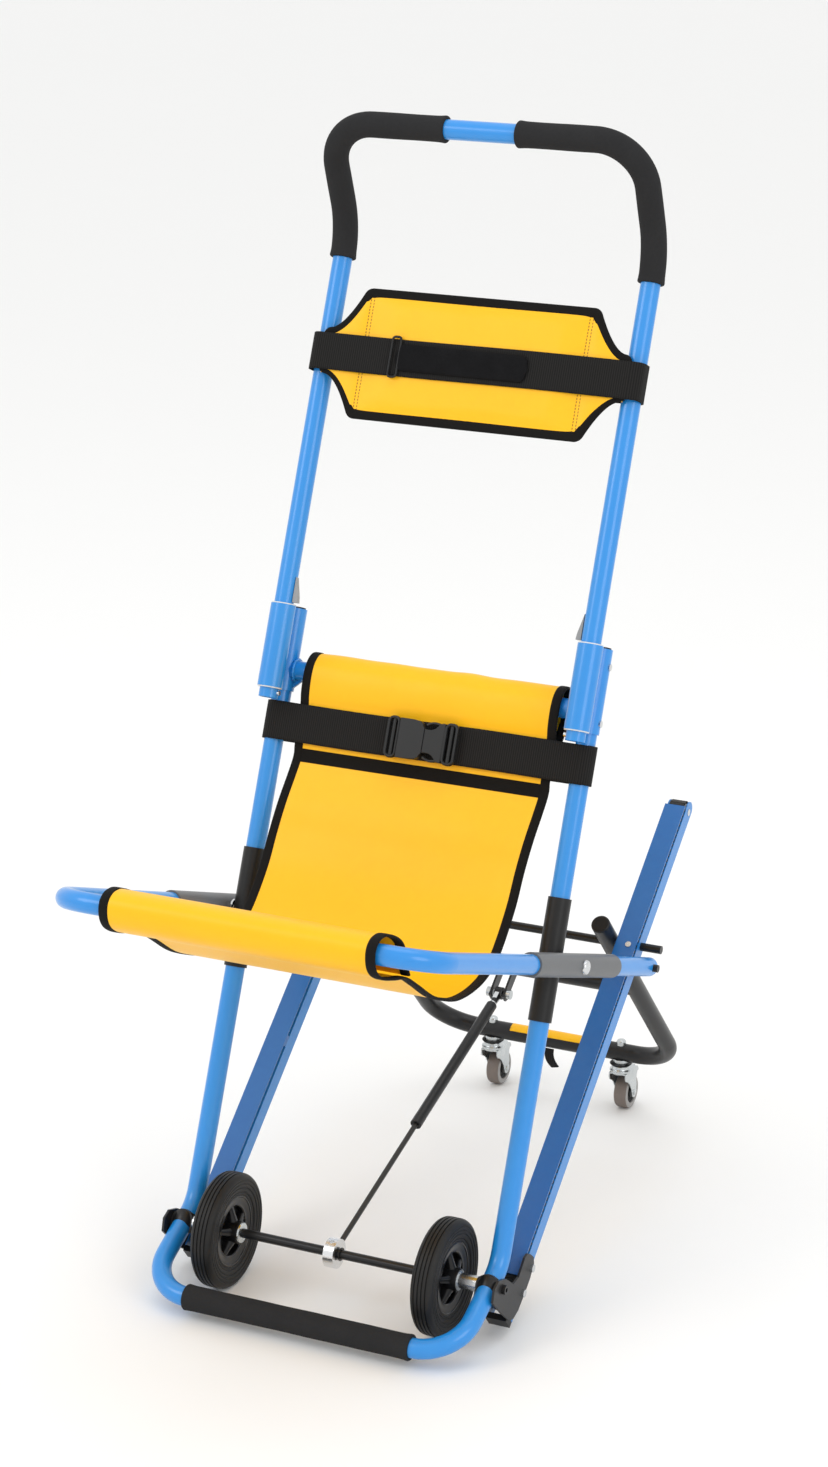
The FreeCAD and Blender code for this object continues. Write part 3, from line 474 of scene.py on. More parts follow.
# coated yellow cloth; the pad adds double stitch rows at +-place across, with dashes along
def clothFinish(name, stitchAt=None):
    finish, tree, shader = newFinish(name, specular=0.3)
    grain = effect(tree, grainGroup, Colour=linear("fdbf12"), Worn_Colour=linear("f3b20c"), Wear=0.35, Patch_Scale=9.0,
            Grain_Scale=1100.0, Roughness=0.4, Roughness_Spread=0.08)
    weave = effect(tree, weaveGroup, Thread_Pitch=0.0016, Dents=0.5)
    colour, height = grain.outputs["Colour"], weave.outputs["Height"]
    if stitchAt:
        place, u, v = uvPlace(tree)
        across = calc(tree, "ABSOLUTE", u)
        rows = calc(tree, "MAXIMUM", strip(tree, across, stitchAt, 0.0008, 0.0003),
                strip(tree, across, stitchAt + 0.0045, 0.0008, 0.0003))
        dash = calc(tree, "GREATER_THAN", calc(tree, "SINE", times(tree, v, 2 * math.pi / 0.0042)), -0.35)
        stitch = times(tree, rows, dash)
        colour = blended(tree, stitch, colour, linear("7a4a10"))
        height = calc(tree, "ADD", height, times(tree, rows, -1.0))
    tree.links.new(colour, shader["Base Color"])
    tree.links.new(grain.outputs["Roughness"], shader["Roughness"])
    bump(tree, height, shader, 0.35, 0.0006)
    return finish


finishes["beltRubber"] = beltFinish()
finishes["strutRod"] = strutRodFinish()
finishes["webBlack"] = webFinish("webBlack", "070707", "2b2a29", 0.0030)
finishes["bindingBlack"] = webFinish("bindingBlack", "0e0d0c", "1f1d1b", 0.0009)
finishes["hammockCloth"] = clothFinish("hammockCloth")
finishes["padCloth"] = clothFinish("padCloth", 0.150)
print("finishes:", len(finishes))

nodeFinishes = {
    "frameBlue": ["main_frame_tube", "back_yoke", "handle_tube", "seat_frame_tube"],
    # rail covers take the darker blue, which is painted shade
    "shadedCoverBlue": ["rail_covers"],
    "railBlue": ["rail_left", "rail_right"],
    "gripFoam": ["grip_left", "grip_right", "foot_bar_foam"],
    "hammockCloth": ["hammock_back", "hammock_seat", "head_pad"],
    "webBlack": ["waist_belt", "head_strap"],
    "buckleGrey": ["buckle_socket", "buckle_plug", "buckle_tab_upper", "buckle_tab_lower"],
    "catchGrey": ["catch_left", "catch_right"],
    "blackPlastic": ["socket_caps", "rail_feet", "leg_caps"],
    "sleeveBlack": ["wear_sleeves"],
    "nylonWhite": ["guide_bushes", "lower_pulleys", "upper_pulleys", "rod_spacers"],
    "rimBlack": ["rim_left", "rim_right"],
    "tyreRubber": ["tyre_left", "tyre_right"],
    "treadGrey": ["caster_wheel_left", "caster_wheel_right"],
    "steelBlack": ["axle", "axle_screws", "tail_pins", "carriage_rod", "carriage_frame", "strut_clevis", "strut_cylinder"],
    "steelBright": ["guide_rivets", "stop_pins", "seat_bolts", "cover_screws", "pulley_pins", "bracket_bolts"],
    "zincPlate": ["bearings_left", "bearings_right", "clevis_bolt", "caster_nuts", "caster_fork_left", "caster_fork_right"],
    "turnedAlu": ["wheel_spacers"],
    "bracketGrey": ["tube_saddles", "rail_brackets"],
    "sleeveGrey": ["seat_sleeves"],
    "beltRubber": ["track_belts"],
    "strutRod": ["strut_rod"],
}
for finishName, nodes in nodeFinishes.items():
    for node in nodes:
        frame["nodes"][node].material_slots[0].material = finishes[finishName]
print("every CAD node finished:", sum(len(n) for n in nodeFinishes.values()))


hammock = {
    # side line from the seam behind the crossbar, over it, down the back, along the seat and round the front bar:
    # y and z from the axle's ground point, and how far the cloth's middle stands to the right
    "backRoll": [(18, 636), (23, 650), (27, 668), (32, 683), (39, 696), (44, 708), (46, 724), (44, 738), (37, 747), (26, 750),
        (15, 746), (7, 736), (3.6, 724), (3.2, 710), (5.2, 694), (8.8, 682), (9.6, 668), (10.8, 645), (12.0,
        628), (13.0, 608)],
    "hang": [(213, 584, -4), (192, 548, -7), (166, 514, -6), (131, 483, -4), (98, 465, -1), (60, 456, 2), (15, 456, 5), (-34, 464, 8),
        (-73, 478, 10), (-112, 497, 11), (-154, 526, 12), (-186, 547, 12), (-216, 557, 12), (-243, 567, 12), (-258, 576, 12),
        (-266, 585, 12), (-269.5, 595, 12), (-269.3, 606, 12), (-265, 614, 12), (-256, 619, 12), (-245, 619.5, 12),
        (-234, 617, 12), (-211, 606, 12), (-196, 594, 12), (-187, 578, 12), (-184, 562, 12), (-178, 548, 12)],
    "half": 178.5, "binding": 6.2, "wall": 1.6, "bandGap": 5.0, "bandTall": 21.0,
}


# point = side line at that length, moved along its normal by a few slow waves that fade away from the crossbar
def hammockSurface(line, across, lift=0.0):
    ahead = unit(np.gradient(line[:, 1:], axis=0))
    normal = np.stack([ahead[:, 1], -ahead[:, 0]], -1)
    length = runOf(line[:, 1:])
    u, x = np.meshgrid(length, across, indexing="ij")
    nearBar = np.exp(-((u - 130) / 45) ** 2)
    wave = nearBar * (0.7 * np.sin(x / 19 + u / 23) * np.sin(x / 61 + 1.1)
            + 0.45 * np.sin(x / 9.5 - u / 31 + 0.8) * np.exp(-((x - 35) / 60) ** 2))
    wave = wave + 1.1 * np.exp(-((u - 330) / 120) ** 2) * np.sin(x / 47 + 0.4) * np.cos(u / 58)
    wave = wave * (1 - (np.abs(x) / across.max()) ** 8)
    moved = wave + lift
    points = np.stack([line[:, :1] + x, line[:, 1:2] + normal[:, :1] * moved, line[:, 2:] + normal[:, 1:] * moved], -1) * mm
    points[..., 1] += axleAt[1]
    points[..., 2] += axleAt[2] - 74 * mm
    return points, np.stack([u, x], -1) * mm, length


def buildHammock():
    turn = math.radians(tubeLean)
    roll = [(0.0, s * math.sin(turn) + p * math.cos(turn), 74 + s * math.cos(turn) - p * math.sin(turn)) for p,
            s in hammock["backRoll"]]
    corners = roll + [(c, y, z) for y, z, c in hammock["hang"]]
    line = smoothLine(corners, 300)
    across = np.linspace(-hammock["half"] + 3, hammock["half"] - 3, 61)
    points, uv, length = hammockSurface(line, across)
    cloth = piece("hammock_sheet", skin(points, uv=uv), "hammockCloth", None, closed=False, sharp=180)
    thickened(cloth, hammock["wall"])
    trims = []
    for side, word in sideNames:
        edge = np.stack([line[:, 0] + side * (hammock["half"] - 5), line[:, 1], line[:, 2]], -1) * mm
        edge[:, 1] += axleAt[1]
        edge[:, 2] += axleAt[2] - 74 * mm
        rim = carried(edge, ovalRing(1.9 * mm, hammock["binding"] * mm, 14, 3.4), (1, 0, 0))
        u = np.broadcast_to(length[:, None] * mm, rim.shape[:2])
        v = np.broadcast_to(np.linspace(0, 0.026, rim.shape[1])[None], rim.shape[:2])
        trims.append(piece("hammock_binding_" + word, skin(rim, wrapCols=True, capRows=True, uv=np.stack([u, v], -1)),
                "bindingBlack", None))
    seamAt = length[np.argmin(np.linalg.norm(line[:, 1:] - np.array(roll[-2][1:]), axis=1))]
    inBand = (length > seamAt) & (length < seamAt + hammock["bandTall"] + 3)
    # the band lies on the front of the cloth, which is the side away from the tubes
    bandPoints, bandUv, _ = hammockSurface(line, np.linspace(-hammock["half"] + 6, hammock["half"] - 6, 61), 1.3)
    bandBack, _, _ = hammockSurface(line, np.linspace(-hammock["half"] + 6, hammock["half"] - 6, 61), -1.3)
    ring = np.concatenate([bandPoints[inBand], bandBack[inBand][::-1]])
    ringUv = np.concatenate([bandUv[inBand], bandUv[inBand][::-1]])
    band = piece("hammock_seam_band", skin(ring, wrapRows=True, capCols=True, uv=ringUv), "bindingBlack", None)
    for part in [cloth, band] + trims:
        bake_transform(part)
    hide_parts("hammock_back", "hammock_seat")
    print("hammock:", round(float(length[-1])), "mm of cloth")


buildHammock()


belt = {"half": 230.0, "front": 6.6, "back": 35.2, "corner": 14.2, "low": 631.0, "high": 681.0, "wall": 2.0}
headStrap = {"half": 229.6, "front": -39.3, "back": -2.3, "corner": 13.2, "low": 1111.0, "high": 1159.0, "wall": 2.0}


# loop round both tubes: rounded rectangle in the across/behind plane, carried along the tubes; the front run has slow waves
def strapLoop(sizes, sway, edgeWave):
    corners = [(sizes["half"], sizes["front"]), (sizes["half"], sizes["back"]), (-sizes["half"], sizes["back"]),
            (-sizes["half"], sizes["front"])]
    ring = roundedLine(corners, sizes["corner"], 10, closed=True)
    ring = np.vstack([ring, ring[:1]])
    run = runOf(ring)
    at = np.linspace(0, run[-1], 420)
    x, p = np.interp(at, run, ring[:, 0]), np.interp(at, run, ring[:, 1])
    front = p < sizes["front"] + 2
    x, p = np.broadcast_arrays(x[:, None], p[:, None] + np.zeros(13))[0:2]
    t = np.linspace(0, 1, 13)[None]
    s = sizes["low"] + (sizes["high"] - sizes["low"]) * t + edgeWave * np.sin(x / 57) * front[:, None]
    p = p + sway * front[:, None] * np.cos(np.clip(x / sizes["half"], -1, 1) * math.pi / 2) * (0.6 + 0.4 * np.cos(t * math.pi + 0.5))
    uv = np.stack([np.broadcast_to(at[:, None], s.shape), np.broadcast_to(t * (sizes["high"] - sizes["low"]), s.shape)], -1) * mm
    return skin(leaned(x, p, s), uv=uv), run[-1]


beltShape, beltRun = strapLoop(belt, -0.6, 0.7)
waist = thickened(piece("waist_belt_webbing", beltShape, "webBlack", "main_frame", closed=False, sharp=180),
        belt["wall"])
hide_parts("waist_belt")
strapShape, strapRun = strapLoop(headStrap, -1.2, 0.5)
strapPiece = thickened(piece("head_strap_webbing", strapShape, "webBlack", "handle", closed=False, sharp=180),
        headStrap["wall"])
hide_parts("head_strap")
print("straps:", round(beltRun), round(strapRun), "mm")


tongue = {"left": -104, "right": 80, "round": 9, "half": 17.5, "thick": 2.8, "middle": 1135, "behind": -42.6}


# closing pad of the head strap: long stuffed tongue with rounded ends, and the flat ring that it turns back through
def buildStrapPad():
    x = np.linspace(tongue["left"], tongue["right"], 70)
    end = np.clip(np.minimum(x - tongue["left"], tongue["right"] - x) / tongue["round"], 0, 1)
    height = tongue["half"] * np.sqrt(np.clip(end * (2 - end), 0.02, 1))
    thick = tongue["thick"] * np.sqrt(np.clip(end * (2 - end), 0.05, 1)) + 0.12 * np.sin(x / 7)
    ring = ovalRing(1, 1, 22, 3.2)
    s = tongue["middle"] + height[:, None] * ring[None, :, 0]
    p = tongue["behind"] + thick[:, None] * ring[None, :, 1]
    points = leaned(x[:, None], p, s)
    uv = joined(x[:, None] * mm, s * mm)
    stuffed = piece("head_strap_tongue", skin(points, wrapCols=True, capRows=True, uv=uv),
            "tongueBlack", "handle", sharp=60)
    loop = roundedLine([(-111, -26), (-99, -26), (-99, 26), (-111, 26)], 4, 6, closed=True)
    path = leaned(loop[:, 0], tongue["behind"] - 0.9, tongue["middle"] + loop[:, 1])
    ringShape = swept(path, ovalRing(1.6 * mm, 1.6 * mm, 10), outward, closed=True)
    piece("head_strap_ring", ringShape, "blackPlastic", "handle")


finishes["tongueBlack"] = grained("tongueBlack", "101011", "222224", 0.85, 0.4, 40, 1300, 0.6, 0.0006, specular=0.08)
buildStrapPad()

pad = {"low": 1052.0, "high": 1222.0, "wingLow": 1103.0, "wingHigh": 1167.0, "half": 160.0, "wingStart": 207.0, "wingHalf": 214.0,
       "front": -37.2, "back": -30.2, "binding": 6.6, "hem": 4.5, "thin": 0.7, "plump": 0.8, "stitch": 152.2}


# upper edge at x: level to the shoulder, then it falls by 1 - (1 - t)^1.8 to the wing; the lower edge mirrors it
def padEdge(x, level, wing):
    t = np.clip((np.abs(x) - pad["half"]) / (pad["wingStart"] - pad["half"]), 0, 1)
    return level + (wing - level) * (1 - (1 - t) ** 1.8)


# quilted crown: thickness falls to the edges as 1 - |2v - 1|^8 and pinches at the stitch rows
def padPoints():
    inner = np.linspace(-pad["half"], pad["half"], 85)
    wing = np.linspace(pad["half"], pad["wingHalf"] - 4, 26)[1:]
    x = np.concatenate([-wing[::-1], inner, wing])[:, None]
    v = np.linspace(0, 1, 37)[None]
    low, high = padEdge(x, pad["low"], pad["wingLow"]) + pad["hem"], padEdge(x, pad["high"], pad["wingHigh"]) - pad["hem"]
    s = low + (high - low) * v
    crown = np.clip(1 - np.abs(2 * v - 1) ** 8, 0, 1) * np.clip((pad["wingHalf"] - np.abs(x)) / 12, 0, 1) ** 0.5
    pinch = 1 - 0.55 * np.exp(-((np.abs(x) - pad["stitch"]) / 4.5) ** 2)
    soft = 0.25 * np.sin(x / 31) * np.sin(s / 27)
    middle = (pad["front"] + pad["back"]) / 2
    half = (pad["back"] - pad["front"]) / 2
    thick = pad["thin"] + (half - pad["thin"]) * crown * pinch * pad["plump"] + soft * crown
    front, back = leaned(x, middle - thick, s), leaned(x, middle + thick, s)
    uv = joined(x, s) * mm
    return np.concatenate([front, back[:, ::-1]], 1), np.concatenate([uv, uv[:, ::-1]], 1)


# cloth with a little pressure; edges and stitch rows are held, and no point may move more than the cap
def puffed(thing, held, cap):
    group = thing.vertex_groups.new(name="held")
    for level in np.unique(held.round(1)):
        if level > 0:
            group.add(np.nonzero(held.round(1) == level)[0].tolist(), float(level), "REPLACE")
    before = np.empty(len(thing.data.vertices) * 3)
    thing.data.vertices.foreach_get("co", before)
    cloth = thing.modifiers.new("puff", "CLOTH")
    cloth.settings.quality = 4
    cloth.settings.use_pressure = True
    cloth.settings.uniform_pressure_force = 4.0
    cloth.settings.tension_stiffness = 25
    cloth.settings.compression_stiffness = 25
    cloth.settings.vertex_group_mass = "held"
    cloth.settings.effector_weights.gravity = 0.0
    cloth.collision_settings.use_collision = False
    for step in range(1, 13):
        bpy.context.scene.frame_set(step)
    evaluated = thing.evaluated_get(bpy.context.evaluated_depsgraph_get())
    after = np.empty(len(thing.data.vertices) * 3)
    evaluated.data.vertices.foreach_get("co", after)
    thing.modifiers.remove(cloth)
    bpy.context.scene.frame_set(1)
    move = (after - before).reshape(-1, 3)
    size = np.linalg.norm(move, axis=1, keepdims=True)
    move *= np.minimum(1, cap * mm / np.maximum(size, 1e-9))
    thing.data.vertices.foreach_set("co", (before.reshape(-1, 3) + move).ravel())
    thing.data.update()
    thing.vertex_groups.clear()
    print(thing.name, "puffed by up to", round(float(size.max()) * 1000, 1), "mm before the cap")


def buildPad():
    points, uv = padPoints()
    panel = piece("head_pad_panel", skin(points, wrapCols=True, capRows=True, uv=uv),
            "padCloth", "handle", sharp=70)
    co = np.empty(len(panel.data.vertices) * 3)
    panel.data.vertices.foreach_get("co", co)
    co = co.reshape(-1, 3)
    x = np.abs(co[:, 0] / mm)
    nearRow = np.exp(-((x - pad["stitch"]) / 3.0) ** 2)
    turn = math.radians(tubeLean)
    s = ((co[:, 1] - axleAt[1]) * math.sin(turn) + (co[:, 2] - axleAt[2]) * math.cos(turn)) / mm
    reach = np.minimum(padEdge(x, pad["high"], pad["wingHigh"]) - s, s - padEdge(x, pad["low"], pad["wingLow"]))
    held = np.clip(np.maximum(nearRow, np.maximum(1 - reach / 7, (x - 196) / 8)), 0, 1)
    puffed(panel, held, 2.0)
    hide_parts("head_pad")
    inset = pad["binding"] - 0.6
    x = np.concatenate([np.linspace(0, pad["half"] - 1, 20), np.linspace(pad["half"], pad["wingStart"], 24), [pad["wingHalf"] - inset]])
    top = padEdge(x, pad["high"], pad["wingHigh"]) - inset
    x = np.minimum(x, pad["wingHalf"] - inset) - 2.5 * np.clip((x - pad["half"] + 20) / 20, 0, 1)
    x[-1] = pad["wingHalf"] - inset
    middle = (pad["low"] + pad["high"]) / 2
    right = np.stack([np.concatenate([x, x[::-1]]), np.concatenate([top, 2 * middle - top[::-1]])], -1)
    outline = np.vstack([right, right[::-1] * (-1, 1)])
    run = runOf(np.vstack([outline, outline[:1]]))
    at = np.linspace(0, run[-1], 601)[:-1]
    path2d = np.stack([np.interp(at, run, np.append(outline[:, k], outline[0, k])) for k in range(2)], -1)
    path2d = sum(np.roll(path2d, k, 0) for k in range(-2, 3)) / 5
    path = leaned(path2d[:, 0], (pad["front"] + pad["back"]) / 2, path2d[:, 1])
    rim = carried(path, ovalRing(pad["binding"] * mm, 2.6 * mm, 14, 3.0), outward, closed=True)
    rim, run = np.concatenate([rim, rim[:1]]), np.linspace(0, 1.2, 601)
    uvRim = joined(run[:, None], np.linspace(0, 0.026, 14)[None])
    piece("head_pad_binding", skin(rim, wrapCols=True, uv=uvRim), "bindingBlack", "handle")


buildPad()
print("head pad done")

grip = {"low": 1262.0, "kink": 1303.0, "setback": -16.6, "lean": -20.0, "rise": 152.0, "corner": 62.0, "gap": 49.0,
        "outside": 16.5, "kinkRadius": 100.0}


# foam tube: radius swells a little at its cut ends, which are rolled over with a small round
def foamTube(path, radius, up, bore=12.9, sides=40):
    length = runOf(path) / mm
    nearEnd = np.minimum(length, length[-1] - length)
    swell = radius + 0.9 * np.exp(-(nearEnd / 7) ** 2) + 0.18 * np.sin(length / 17) * np.sin(length / 41 + 1)
    inset = np.clip(1 - nearEnd / 2.4, 0, 1)
    size = swell - 2.4 * (1 - np.sqrt(1 - inset ** 2)) * (inset > 0)
    ring = ovalRing(1, 1, sides)
    skinOuter = carried(path, size[:, None, None] * mm * ring[None], up)
    bores = carried(path, bore * mm * ring, up)[::-1]
    u = np.concatenate([length, length[::-1]])
    uv = joined(u[:, None] * mm, np.linspace(0, 0.1, sides)[None])
    return skin(np.concatenate([skinOuter, bores]), wrapCols=True, wrapRows=True, uv=uv)


def resampled(path, step):
    run = runOf(path)
    keep = np.concatenate([[True], np.diff(run) > 1e-7])
    run, path = run[keep], path[keep]
    ends = np.array([0, 0.15, 0.4, 0.8, 1.4, 2.2, 3.4]) * mm
    at = np.concatenate([ends, np.arange(5 * mm, run[-1] - 4.9 * mm, step * mm), run[-1] - ends[::-1]])
    return np.stack([np.interp(at, run, path[:, k]) for k in range(3)], -1)


for side, word in sideNames:
    bend = math.radians(tubeLean - grip["lean"])
    top = (grip["setback"] - grip["rise"] * math.sin(bend), grip["kink"] + grip["rise"] * math.cos(bend))
    foot, kink = leaned(side * legAcross, grip["setback"], grip["low"]), leaned(side * legAcross, grip["setback"], grip["kink"])
    peak, inner = leaned(side * legAcross, top[0], top[1]), leaned(side * grip["gap"], top[0], top[1])
    lowHalf = roundedLine([foot, kink, (kink + peak) / 2], grip["kinkRadius"] * mm, 14)
    highHalf = roundedLine([(kink + peak) / 2, peak, inner], grip["corner"] * mm, 20)
    path = resampled(np.vstack([lowHalf[:-1], highHalf]), 5)
    lead = unit(np.cross(unit(inner - peak), unit(kink - peak)))
    foam = piece("grip_foam_" + word, foamTube(path, grip["outside"], lead + 0.001 * np.array([1, 1, 1])),
            "gripFoam", "handle", sharp=60)
    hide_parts("grip_" + word)
footPath = resampled(np.array([(-0.157, -0.346, 0.026), (0.157, -0.346, 0.026)]), 5)
footFoam = piece("foot_foam", foamTube(footPath, 16.0, (0, 0, 1)), "gripFoam", "main_frame", sharp=60)
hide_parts("foot_bar_foam")
print("foam done")

wheel = {"at": 153.8, "spokes": 5}


# tyre section: half of it from the bead to the tread's middle, with stepped rings on the wall, mirrored across the wheel
def tyreSection():
    half = [(9.6, 46.4), (10.6, 46.6), (11.6, 47.6), (12.0, 49.6), (11.4, 50.2), (11.6, 51.2), (12.8, 51.8), (13.4, 53.4),
            (13.6, 55.6), (12.9, 56.2), (13.0, 57.4), (14.1, 58.0), (14.4, 60.2), (13.7, 60.8),
            (13.8, 62.0), (14.7, 62.6), (14.9, 65.0), (14.2, 65.6), (14.2, 66.6), (14.9, 67.2), (14.8, 69.2), (13.9,
            71.0), (12.4, 72.9),
            (10.4, 74.1), (8.7, 74.7), (8.2, 73.4), (7.2, 73.4), (6.8, 74.9), (3.4, 75.0), (3.0, 73.6), (2.0, 73.6), (1.6, 75.0)]
    half = np.array(half)
    return np.vstack([half, half[::-1] * (-1, 1)]) * mm


# rim: outer ring, hub, thin web and tapered spokes
def rimShapes(centre):
    ring = np.array([(8.0, 50.0), (10.4, 47.2), (11.6, 46.2), (11.8, 44.6), (10.6, 43.6), (10.2, 39.0), (9.0, 35.6), (9.4, 33.8),
            (8.4, 32.6), (0, 31.8),
            (-8.4, 32.6), (-9.4, 33.8), (-9.0, 35.6), (-10.2, 39.0), (-10.6, 43.6), (-11.8, 44.6), (-11.6,
            46.2), (-10.4, 47.2), (-8.0, 50.0)]) * mm
    hub = np.array([(20.5, 8.0), (21.0, 12.2), (20.2, 14.2), (12.0, 15.4), (0, 16.4), (-12.0, 15.4), (-20.2, 14.2),
            (-21.0, 12.2), (-20.5, 8.0)]) * mm
    web = np.array([(1.6, 15.0), (1.6, 33.0), (-1.6, 33.0), (-1.6, 15.0)]) * mm
    shapes = [spun(ring, centre, 72), spun(hub, centre, 40), spun(web, centre, 72)]
    r = np.linspace(12, 33.4, 12)[:, None]
    t = (r - 12) / 21.4
    wide = 6.6 - 3.4 * t + 2.2 * t ** 4
    deep = 16.0 - 7.4 * t
    section = ovalRing(1, 1, 14, 3.6)
    for turn in np.arange(wheel["spokes"]) * 2 * math.pi / wheel["spokes"] + 0.3:
        sideways, inward = wide * section[None, :, 0], deep * section[None, :, 1]
        y = r * math.cos(turn) - sideways * math.sin(turn)
        z = r * math.sin(turn) + sideways * math.cos(turn)
        points = joined(inward, y, z) * mm + np.asarray(centre)
        shapes.append(skin(points, wrapCols=True, capRows=True))
    return shapes


for side, word in sideNames:
    centre = (side * wheel["at"] * mm, axleAt[1], axleAt[2])
    body = "front_wheel_" + word
    tyre = piece("tyre_tread_" + word, spun(tyreSection(), centre, 96), "tyreRubber", body, sharp=30)
    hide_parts("tyre_" + word)
    rim = piece("wheel_rim_" + word, rimShapes(centre), "rimBlack", body)
    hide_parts("rim_" + word)
    face = np.array([(-24.2, 6.2), (-24.2, 9.0), (-23.2, 12.6), (-22.0, 13.4), (-21.0, 13.4), (-21.0, 6.2)]) * (side, 1) * mm
    piece("hub_flange_" + word, spun(face, centre, 48), "zincPlate", body)
print("front wheels done")

caster = {"across": 100.0, "swivelY": 467.7, "axleY": 488.7, "axleZ": 25.0}


# arm seen from the side: from the head plate down to a round boss at the wheel's axle, with a lip curled up at the rear
def casterArm():
    y, z = caster["axleY"], caster["axleZ"]
    boss = [(y + 8 * math.cos(a), z + 8 * math.sin(a)) for a in np.radians(np.arange(-150, 31, 18))]
    front = [(455.0, 64.0), (454.0, 58.0), (456.5, 52.5), (463.0, 49.5), (470.0, 44.0), (477.0, 33.5)]
    rear = [(497.0, 34.0), (496.0, 42.0), (496.6, 50.0), (499.5, 55.0), (502.0, 53.5), (503.4, 56.5), (500.5, 61.5),
            (494.0, 63.5), (485.0, 64.5)]
    return np.array(front + boss + rear)


for side, word in sideNames:
    x = side * caster["across"] * mm
    head = np.array([(0.0, 8.0), (0.0, 15.0), (3.0, 16.2), (5.0, 16.2), (6.0, 14.6), (8.0, 13.6), (11.0, 13.6), (12.4, 12.0),
            (12.4, 4.2)]) * mm
    swivel = (x, caster["swivelY"] * mm, 0.0625)
    shapes = [skin(turned(head, swivel, 40, (0, 0, 1)), wrapRows=True, capCols=True)]
    for arm in (-12.4, 12.4):
        shapes.append(slab(casterArm(), 1.8, (x + arm * mm, 0, 0), (0, 1, 0), (0, 0, 1)))
    shapes.append(slab([(455.0, -12.0), (455.0, 12.0), (494.0, 12.0), (499.0, 9.0), (499.0, -9.0), (494.0, -12.0)],
            1.8, (x, 0, 0.0632), (0, 1, 0), (1, 0, 0)))
    pinEnd = np.array([(-15.4, 2.6), (-15.0, 3.6), (-13.2, 4.2), (13.2, 4.2), (15.0, 3.6), (15.4, 2.6)]) * mm
    shapes.append(skin(turned(pinEnd, (x, caster["axleY"] * mm, caster["axleZ"] * mm), 18), wrapRows=True, capCols=True))
    fork = rounded(piece("caster_yoke_" + word, shapes, "zincPlate", "caster_fork_" + word), 0.35, 2)
    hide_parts("caster_fork_" + word)
    race = np.array([(13.0, 5.0), (13.0, 15.4), (13.8, 16.0), (14.6, 15.4), (14.6, 5.0)]) * mm
    piece("caster_race_" + word, spun(race, swivel, 40, (0, 0, 1)), "blackPlastic", "caster_fork_" + word)
    centre = (x, caster["axleY"] * mm, caster["axleZ"] * mm)
    tread = np.array([(9.2, 17.6), (9.4, 21.6), (8.6, 23.8), (6.8, 24.8), (2.2, 25.0), (-2.2, 25.0), (-6.8, 24.8), (-8.6, 23.8),
            (-9.4, 21.6), (-9.2, 17.6)]) * mm
    wheelPart = piece("caster_tread_" + word, spun(tread, centre, 56), "treadGrey", "caster_wheel_" + word, sharp=50)
    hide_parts("caster_wheel_" + word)
    flank = np.array([(9.5, 16.6), (9.9, 17.4), (9.9, 22.0), (9.2, 23.4), (7.4, 23.0), (7.4, 16.8)]) * mm
    sides = [spun(flank * (way, 1), centre, 56) for way in rightAndLeft]
    piece("caster_flanks_" + word, sides, "treadSide", "caster_wheel_" + word)
    core = np.array([(8.8, 4.4), (9.0, 7.8), (6.6, 8.6), (5.0, 14.0), (7.6, 17.4), (-7.6, 17.4), (-5.0, 14.0), (-6.6, 8.6),
            (-9.0, 7.8), (-8.8, 4.4)]) * mm
    piece("caster_core_" + word, spun(core, centre, 40), "blackPlastic", "caster_wheel_" + word)
print("casters done")

buckle = {"middle": 656.0, "face": -1.2, "thick": 10.4}


def buckleSlab(outline, thick=buckle["thick"]):
    return slab(outline, thick, leaned(0, buckle["face"], buckle["middle"]), (1, 0, 0), alongTube)


# frame loop for the webbing: rounded rectangle carried by a flat oval section, with its bar
def buckleFrame(x0, x1):
    loop = roundedLine([(x0, -25.2), (x1, -25.2), (x1, 25.2), (x0, 25.2)], 6, 7, closed=True)
    bow = -1.6 * (1 - (loop[:, 1] / 26) ** 2)
    path = leaned(loop[:, 0], buckle["face"] + bow, buckle["middle"] + loop[:, 1])
    ring = swept(path, ovalRing(2.1 * mm, 4.0 * mm, 12, 2.6), outward, closed=True)
    barLine = leaned((x0 + x1) / 2, buckle["face"] - 0.5, buckle["middle"] + np.linspace(-24, 24, 9))
    bar = swept(barLine, ovalRing(1.8 * mm, 2.8 * mm, 10, 2.4), (1, 0, 0))
    return [ring, bar]


# outline of half the body, mirrored about the belt's middle
def mirroredOutline(upper):
    return upper + [(x, -s) for x, s in upper[::-1]]


socketTop = [(-29, 25.5), (-12, 25.6), (-2, 24.6), (2.6, 22.0), (4.0, 18.4), (6.0, 16.4)]
plugTop = [(6.4, 15.6), (10.0, 15.0), (16.0, 15.2), (21.0, 17.4), (24.4, 21.0), (27.0, 24.4), (31.0, 25.2), (34.0, 25.2)]
socket = rounded(piece("buckle_socket_shell", [buckleSlab(mirroredOutline(socketTop))] + buckleFrame(-45.0, -31.0),
        "buckleGrey", "main_frame"), 1.6, 3)
plug = rounded(piece("buckle_plug_shell", [buckleSlab(mirroredOutline(plugTop), 9.0)] + buckleFrame(35.0, 50.0),
        "buckleGrey", "main_frame"), 1.4, 3)
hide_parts("buckle_socket")
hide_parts("buckle_plug")
for way, word in ((1, "upper"), (-1, "lower")):
    arm = smoothLine([(8.0, 20.6), (12.5, 23.0), (18.0, 24.2), (24.0, 23.6), (27.5, 22.4)], 18)
    path = leaned(arm[:, 0], buckle["face"], buckle["middle"] + way * arm[:, 1])
    tab = piece("buckle_arm_" + word, swept(path, ovalRing(1.7 * mm, 3.4 * mm, 12, 3.0), outward),
            "buckleGrey", "buckle_tab_" + word)
    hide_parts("buckle_tab_" + word)
print("buckle done")

